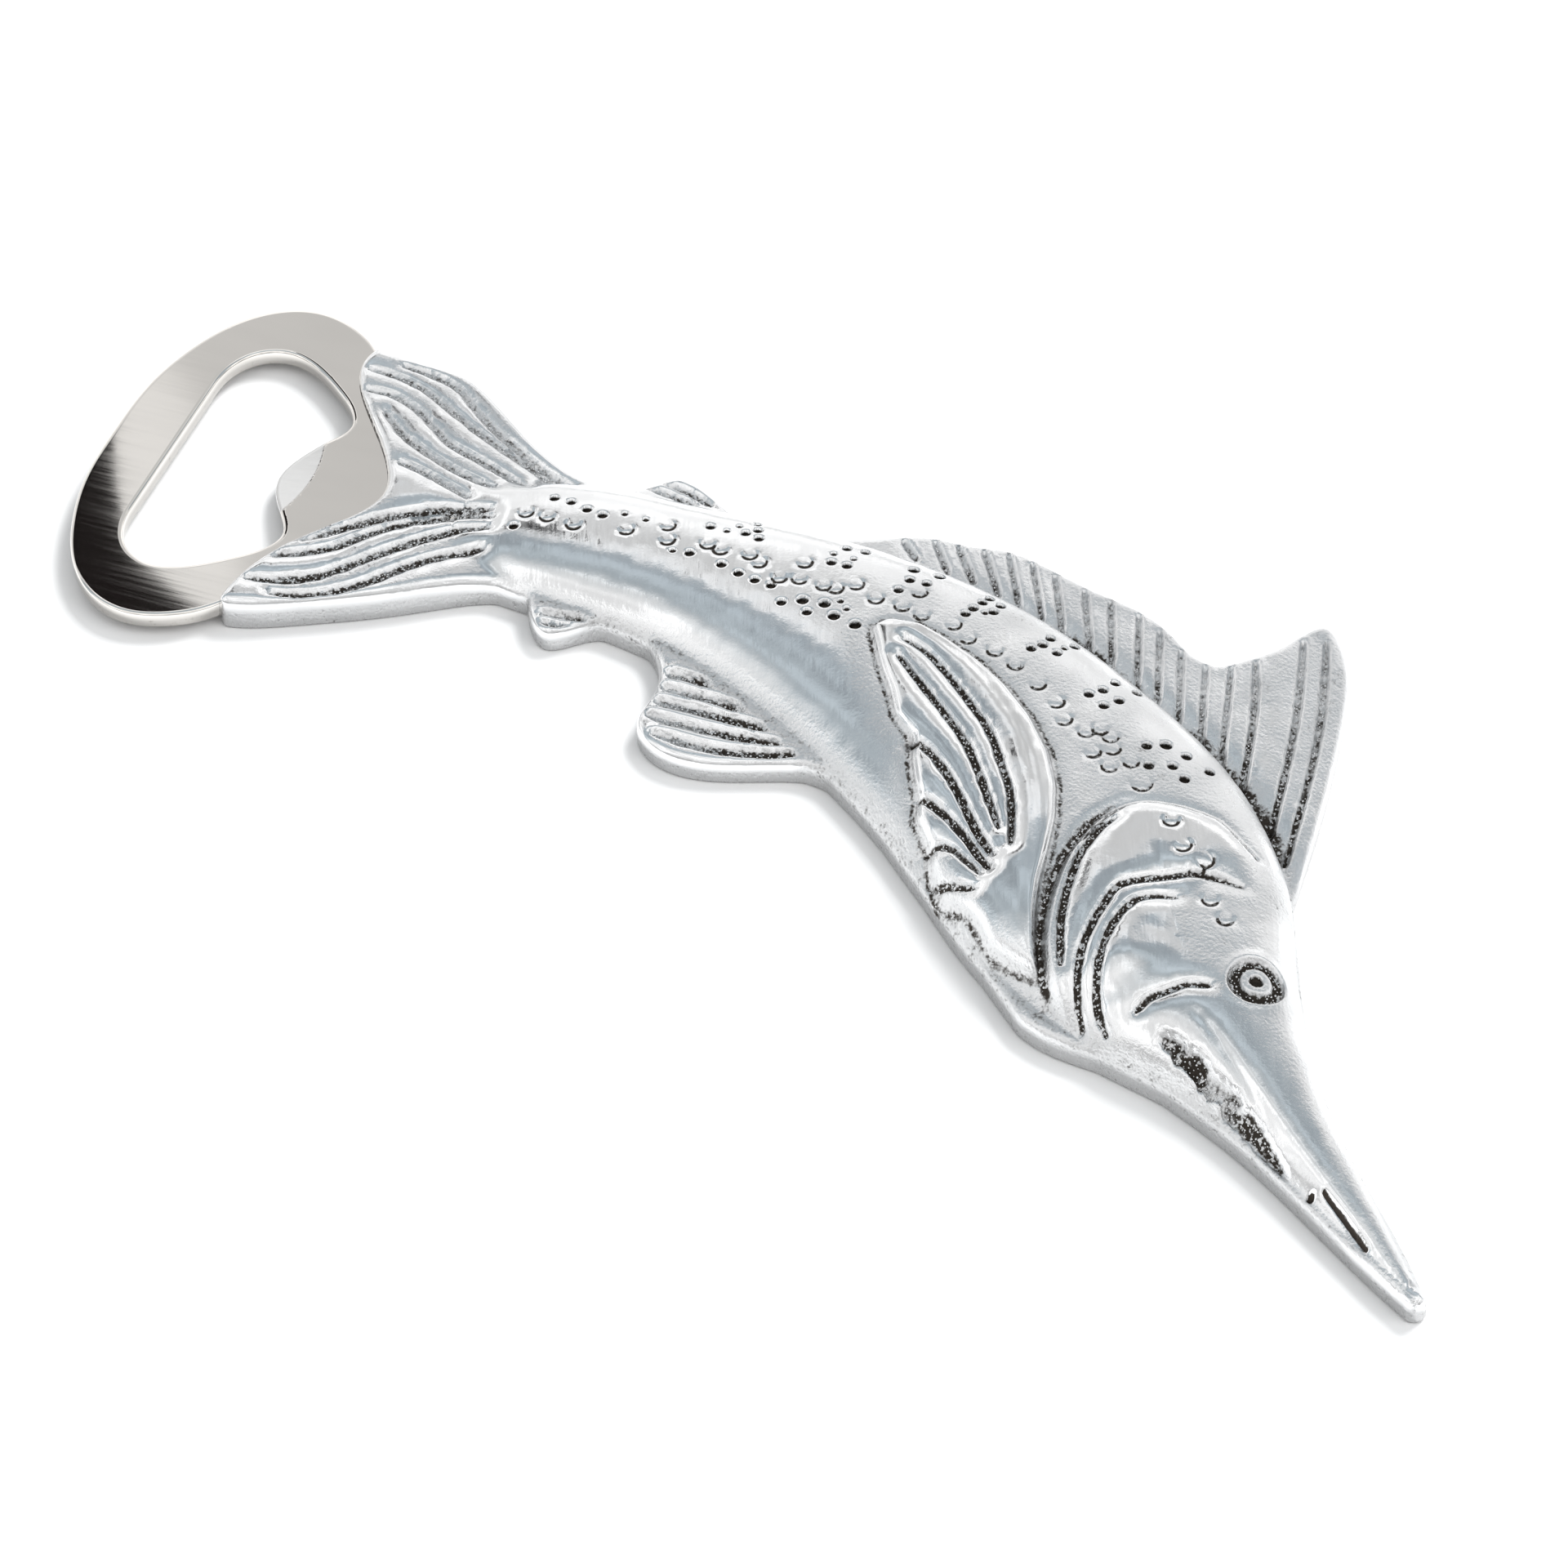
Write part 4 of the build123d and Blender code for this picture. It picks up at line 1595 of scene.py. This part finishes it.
def steel_material(finish: Finish, effects: MetalEffects) -> bpy.types.Material:
    """Stainless steel with belt lines along the plate and painted shade on its walls.

    Args:
        finish: colours and strengths.
        effects: the shared groups.

    Returns:
        The material.
    """
    material = bpy.data.materials.new("brushed_steel")
    material.use_nodes = True
    book = NodeBook(material.node_tree)
    place = book.add("ShaderNodeTexCoord").outputs["Object"]
    ground, cut = attribute(book, "ground"), attribute(book, "cut")
    grime_and_shade = book.add("ShaderNodeGroup", node_tree=effects.grime_and_shade)
    book.feed(grime_and_shade.inputs["Vector"], place)
    # Painted shade on the plate's walls: "cut" feeds the dark mask here.
    book.feed(grime_and_shade.inputs["Recess"], book.math("MULTIPLY", cut, 0.45))
    book.feed(grime_and_shade.inputs["Rough"], 0.0)
    lines = book.add("ShaderNodeGroup", node_tree=effects.lines)
    book.feed(lines.inputs["Vector"], book.stretch(place, (0.035, 1.0, 1.0)))
    book.feed(lines.inputs["Amount"], book.range(ground, 0.0, 1.0, (finish.scratch, 14 * finish.scratch)))
    cloud = book.noise(book.stretch(place, (0.3, 1.0, 1.0)), 120.0, 2.0)
    tone = book.mix(book.range(cloud, 0.35, 0.7), finish.colour, tuple(0.95 * c for c in finish.colour))
    # Painted shade: the walls' tone is darkened towards half the base colour.
    tone = book.mix(book.math("MULTIPLY", cut, 0.75), tone, tuple(0.5 * c for c in finish.colour))
    tone = book.mix(book.math("MULTIPLY", ground, 0.6), tone, (0.56, 0.58, 0.60))
    metal = book.add("ShaderNodeBsdfPrincipled")
    metal.inputs["Metallic"].default_value = 1.0
    book.feed(metal.inputs["Base Color"], book.mix(grime_and_shade.outputs["Mask"], tone, finish.dark))
    shine = book.math("ADD", finish.roughness, book.math("MULTIPLY", lines.outputs["Spread"], 0.02))
    book.feed(metal.inputs["Roughness"], book.math("ADD", shine, book.math("MULTIPLY", ground, 0.16)))
    bump = book.add("ShaderNodeBump")
    bump.inputs["Strength"].default_value = 1.0
    bump.inputs["Distance"].default_value = 0.0001
    book.feed(bump.inputs["Height"], lines.outputs["Height"])
    book.feed(metal.inputs["Normal"], bump.outputs[0])
    book.feed(book.add("ShaderNodeOutputMaterial").inputs["Surface"], metal.outputs[0])
    return material


# ---------------------------------------------------------------- sand grains in the grooves


@dataclass
class SandGrains:
    """Small beads of metal that the sand mould leaves on the groove floors.

    Args:
        drawing: the drawing frame, which is not used.
    """

    drawing: Drawing
    radius: float = 0.15
    spacing: float = 0.4
    crowding: float = 12.0e6
    seed: int = 11
    floor_rough: float = 0.94

    def tree(self, material: bpy.types.Material) -> bpy.types.NodeTree:
        """Builds the node tree that scatters the beads.

        Args:
            material: the beads' material.

        Returns:
            The tree, whose inputs are Geometry, Radius, Spacing, Crowding and Seed.
        """
        tree = bpy.data.node_groups.new("scatter_grains", "GeometryNodeTree")
        face = tree.interface
        face.new_socket("Geometry", in_out="INPUT", socket_type="NodeSocketGeometry")
        for name, kind in (("Radius", "NodeSocketFloat"), ("Spacing", "NodeSocketFloat"),
                           ("Crowding", "NodeSocketFloat"), ("Seed", "NodeSocketInt")):
            face.new_socket(name, in_out="INPUT", socket_type=kind)
        face.new_socket("Geometry", in_out="OUTPUT", socket_type="NodeSocketGeometry")
        book = NodeBook(tree)
        given, made = book.add("NodeGroupInput"), book.add("NodeGroupOutput")
        scatter = book.add("GeometryNodeDistributePointsOnFaces", distribute_method="POISSON")
        book.feed(scatter.inputs["Mesh"], given.outputs["Geometry"])
        book.feed(scatter.inputs["Distance Min"], given.outputs["Spacing"])
        book.feed(scatter.inputs["Density Max"], given.outputs["Crowding"])
        book.feed(scatter.inputs["Seed"], given.outputs["Seed"])
        bead = book.add("GeometryNodeMeshIcoSphere")
        book.feed(bead.inputs["Radius"], given.outputs["Radius"])
        bead.inputs["Subdivisions"].default_value = 1
        size = book.add("FunctionNodeRandomValue", data_type="FLOAT")
        size.inputs[2].default_value, size.inputs[3].default_value = 0.55, 1.25
        book.feed(size.inputs["Seed"], given.outputs["Seed"])
        spread = book.add("GeometryNodeInstanceOnPoints")
        book.feed(spread.inputs["Points"], scatter.outputs["Points"])
        book.feed(spread.inputs["Instance"], bead.outputs["Mesh"])
        book.feed(spread.inputs["Rotation"], scatter.outputs["Rotation"])
        book.feed(spread.inputs["Scale"], size.outputs[1])
        real = book.add("GeometryNodeRealizeInstances")
        book.feed(real.inputs[0], spread.outputs[0])
        rounded = book.add("GeometryNodeSetShadeSmooth")
        book.feed(rounded.inputs["Geometry"], real.outputs[0])
        dressed = book.add("GeometryNodeSetMaterial")
        dressed.inputs["Material"].default_value = material
        book.feed(dressed.inputs["Geometry"], rounded.outputs[0])
        book.feed(made.inputs[0], dressed.outputs[0])
        return tree

    def build(self, casting: bpy.types.Object, material: bpy.types.Material) -> bpy.types.Object:
        """Scatters the beads over the casting's groove floors.

        Args:
            casting: the finished casting.
            material: the beads' material.

        Returns:
            A plain mesh object.
        """
        bed = self._floors(casting)
        tree = self.tree(material)
        modifier = bed.modifiers.new("grains", "NODES")
        modifier.node_group = tree
        values = {
            "Radius": self.radius * MM,
            "Spacing": self.spacing * MM,
            "Crowding": self.crowding,
            "Seed": self.seed,
        }
        for item in tree.interface.items_tree:
            if item.item_type == "SOCKET" and item.in_out == "INPUT" and item.name in values:
                modifier[item.identifier] = values[item.name]
        graph = bpy.context.evaluated_depsgraph_get()
        mesh = bpy.data.meshes.new_from_object(bed.evaluated_get(graph), depsgraph=graph)
        mesh.name = "cast_grains"
        grains = bpy.data.objects.new("cast_grains", mesh)
        bpy.context.scene.collection.objects.link(grains)
        bpy.data.objects.remove(bed)
        for name, value in (("recess", 0.2), ("rough", 0.5), ("satin", 0.0)):
            layer = mesh.attributes.get(name) or mesh.attributes.new(name, "FLOAT", "POINT")
            layer.data.foreach_set("value", np.full(len(mesh.vertices), value, np.float32))
        log.info("cast_grains: %d faces", len(mesh.polygons))
        return grains

    def _floors(self, casting: bpy.types.Object) -> bpy.types.Object:
        """Copies the casting's groove floors.

        Args:
            casting: the finished casting.

        Returns:
            An object that holds only the floors.
        """
        mesh = casting.data
        rough = np.empty(len(mesh.vertices), np.float32)
        mesh.attributes["rough"].data.foreach_get("value", rough)
        place = np.array([v.co for v in mesh.vertices])
        deep = rough > self.floor_rough
        triangles = [tuple(p.vertices) for p in mesh.polygons if len(p.vertices) == 3]
        faces = [f for f in triangles if deep[list(f)].all() and min(place[list(f), 2]) > 2 * MM]
        used = sorted({v for f in faces for v in f})
        index = {v: i for i, v in enumerate(used)}
        floors = bpy.data.meshes.new("groove_floors")
        floors.from_pydata(place[used].tolist(), [], [tuple(index[v] for v in f) for f in faces])
        bed = bpy.data.objects.new("groove_floors", floors)
        bpy.context.scene.collection.objects.link(bed)
        return bed


# ---------------------------------------------------------------- studio


@dataclass
class Studio:
    """A pale table, a soft surround and a camera that looks down at the opener.

    Args:
        drawing: the drawing frame.
    """

    drawing: Drawing
    azimuth: float = 20.14
    elevation: float = 46.0
    distance: float = 0.5494
    lens: float = 112.5
    aim: tuple[float, float] = (0.0037, -0.0017)
    table_size: float = 6.0
    table_tone: float = 0.83

    def _toward_camera(self) -> Vector:
        """Unit vector from the aim towards the camera."""
        a, e = math.radians(self.azimuth), math.radians(self.elevation)
        return Vector((math.sin(a) * math.cos(e), -math.cos(a) * math.cos(e), math.sin(e)))

    def build(self) -> None:
        """Makes the table, surround, lights and camera."""
        self._table()
        self._surround()
        self._softbox("back_box", (0.35, 0.75, 0.95), 0.5, 15.0)
        self._softbox("side_box", (0.9, -0.1, 0.9), 0.7, 4.0)
        self._flag()
        self._camera()
        bpy.context.scene.view_settings.view_transform = "Standard"
        bpy.context.scene.view_settings.look = "None"

    def _table(self) -> None:
        """A pale table top just under the opener."""
        half = self.table_size / 2
        mesh = bpy.data.meshes.new("table")
        corners = [(-half, -half), (half, -half), (half, half), (-half, half)]
        mesh.from_pydata([(x, y, cad_low.z - 0.05 * MM) for x, y in corners], [], [(0, 1, 2, 3)])
        table = bpy.data.objects.new("table", mesh)
        bpy.context.scene.collection.objects.link(table)
        material = bpy.data.materials.new("table_white")
        material.use_nodes = True
        shader = material.node_tree.nodes["Principled BSDF"]
        shader.inputs["Base Color"].default_value = (self.table_tone, self.table_tone, self.table_tone, 1)
        shader.inputs["Roughness"].default_value = 0.9
        shader.inputs["Specular IOR Level"].default_value = 0.1
        mesh.materials.append(material)

    def _surround(self) -> None:
        """A bright surround, greyer and bluer overhead, as a white tent round the table gives."""
        world = bpy.data.worlds.new("tent")
        bpy.context.scene.world = world
        world.use_nodes = True
        book = NodeBook(world.node_tree)
        direction = book.add("ShaderNodeTexCoord").outputs["Generated"]
        split = book.add("ShaderNodeSeparateXYZ")
        book.feed(split.inputs[0], direction)
        a = math.radians(self.azimuth)
        away = book.math(
            "ADD",
            book.math("MULTIPLY", split.outputs[0], -math.sin(a)),
            book.math("MULTIPLY", split.outputs[1], math.cos(a)),
        )
        angle = book.math("ARCTAN2", split.outputs[2], away)
        share = book.math("DIVIDE", angle, math.pi)
        ramp_node = book.add("ShaderNodeValToRGB")
        ramp_node.color_ramp.interpolation = "EASE"
        stops = (
            (0.0, (0.62, 0.62, 0.62)),
            (0.05, (1.15, 1.15, 1.15)),
            (0.19, (1.12, 1.12, 1.12)),
            (0.225, (0.83, 0.83, 0.83)),
            (0.265, (0.80, 0.805, 0.81)),
            (0.283, (0.93, 0.94, 0.95)),
            (0.293, (0.40, 0.45, 0.49)),
            (0.41, (0.50, 0.56, 0.60)),
            (0.5, (0.95, 0.97, 0.98)),
            (0.56, (1.14, 1.14, 1.14)),
            (0.75, (1.0, 1.0, 1.0)),
            (1.0, (0.5, 0.5, 0.5)),
        )
        points = ramp_node.color_ramp.elements
        while len(points) < len(stops):
            points.new(0.5)
        for point, (place, colour) in zip(points, stops):
            point.position = place
            point.color = (*colour, 1)
        book.feed(ramp_node.inputs[0], share)
        soft = book.range(book.noise(direction, 2.6, 3.0), 0.34, 0.66, (0.78, 1.1))
        crisp = book.range(book.noise(direction, 5.0, 1.0), 0.54, 0.57, (0.93, 1.2))
        patches = book.math("MULTIPLY", soft, crisp)
        back = book.add("ShaderNodeBackground")
        book.feed(back.inputs["Strength"], patches)
        book.feed(back.inputs["Color"], ramp_node.outputs[0])
        book.feed(book.add("ShaderNodeOutputWorld").inputs["Surface"], back.outputs[0])

    def _softbox(self, name: str, place: tuple[float, float, float], size: float, power: float) -> None:
        """A square soft light that faces the opener.

        Args:
            name: the light's name.
            place: where it stands, in metres.
            size: its side, in metres.
            power: its power, in watts.
        """
        data = bpy.data.lights.new(name, "AREA")
        data.size = size
        data.energy = power
        light = bpy.data.objects.new(name, data)
        light.location = place
        light.rotation_euler = (-Vector(place)).to_track_quat("-Z", "Y").to_euler()
        light.visible_camera = False
        light.visible_glossy = False
        bpy.context.scene.collection.objects.link(light)

    def _flag(self) -> None:
        """A black card that darkens the lower left of the steel ring, placed by the mirror rule."""
        low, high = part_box("opener_plate")
        camera = self._camera_place()
        mirrored = np.array([camera.x, camera.y, 2 * high.z - camera.z])
        on_plate = (
            (-2, 4), (1.4, -3), (4.6, -9.0), (8.6, -15), (12.6, -19.6), (18, -22.6), (26, -26.5),
            (30, -62), (-46, -62), (-46, 12),
        )
        marks = self.drawing.to_frame(np.array([(x, y, high.z / MM) for x, y in on_plate]))
        corners = mirrored + (marks - mirrored) * 3.0
        mesh = bpy.data.meshes.new("black_flag")
        mesh.from_pydata(corners.tolist(), [], [tuple(range(len(corners)))])
        flag = bpy.data.objects.new("black_flag", mesh)
        bpy.context.scene.collection.objects.link(flag)
        material = bpy.data.materials.new("flag_black")
        material.use_nodes = True
        shader = material.node_tree.nodes["Principled BSDF"]
        shader.inputs["Base Color"].default_value = (0.012, 0.010, 0.010, 1)
        shader.inputs["Roughness"].default_value = 1.0
        shader.inputs["Specular IOR Level"].default_value = 0.0
        mesh.materials.append(material)
        flag.visible_camera = False
        flag.visible_diffuse = False
        flag.visible_shadow = False

    def _camera_place(self) -> Vector:
        """Where the camera stands."""
        return Vector((*self.aim, 0)) + self._toward_camera() * self.distance

    def _camera(self) -> None:
        """Makes the camera."""
        data = bpy.data.cameras.new("camera")
        data.lens = self.lens
        data.sensor_width = 36
        data.clip_start, data.clip_end = 0.01, 20
        camera = bpy.data.objects.new("camera", data)
        camera.location = self._camera_place()
        camera.rotation_euler = (-self._toward_camera()).to_track_quat("-Z", "Y").to_euler()
        bpy.context.scene.collection.objects.link(camera)
        bpy.context.scene.camera = camera


def fit_out(piece: bpy.types.Object, material: bpy.types.Material, slot: str, *stands_for: str) -> None:
    """Dresses a piece and ties it to the frame.

    Args:
        piece: the finished object.
        material: its material.
        slot: the record's material slot, which is not used.
        stands_for: CAD nodes that it stands for.
    """
    if not piece.data.materials:
        piece.data.materials.append(material)
    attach(piece, "root")
    if stands_for:
        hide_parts(*stands_for)


def main() -> None:
    """Builds the opener and its studio."""
    logging.basicConfig(level=logging.INFO, format="%(name)s: %(message)s")
    drawing = Drawing.from_plate("opener_plate")
    effects = MetalEffects()
    aluminium = casting_material(POLISHED_CASTING, effects)
    steel = steel_material(BRUSHED_STEEL, effects)
    casting = FishCasting(drawing).build()
    grains = SandGrains(drawing).build(casting, aluminium)
    lifter = CapLifter(drawing).build()
    fit_out(casting, aluminium, "cast_aluminium", "fish_handle")
    fit_out(grains, aluminium, "cast_aluminium")
    fit_out(lifter, steel, "plate_steel", "opener_plate")
    Studio(drawing).build()


if __name__ == "__main__":
    main()
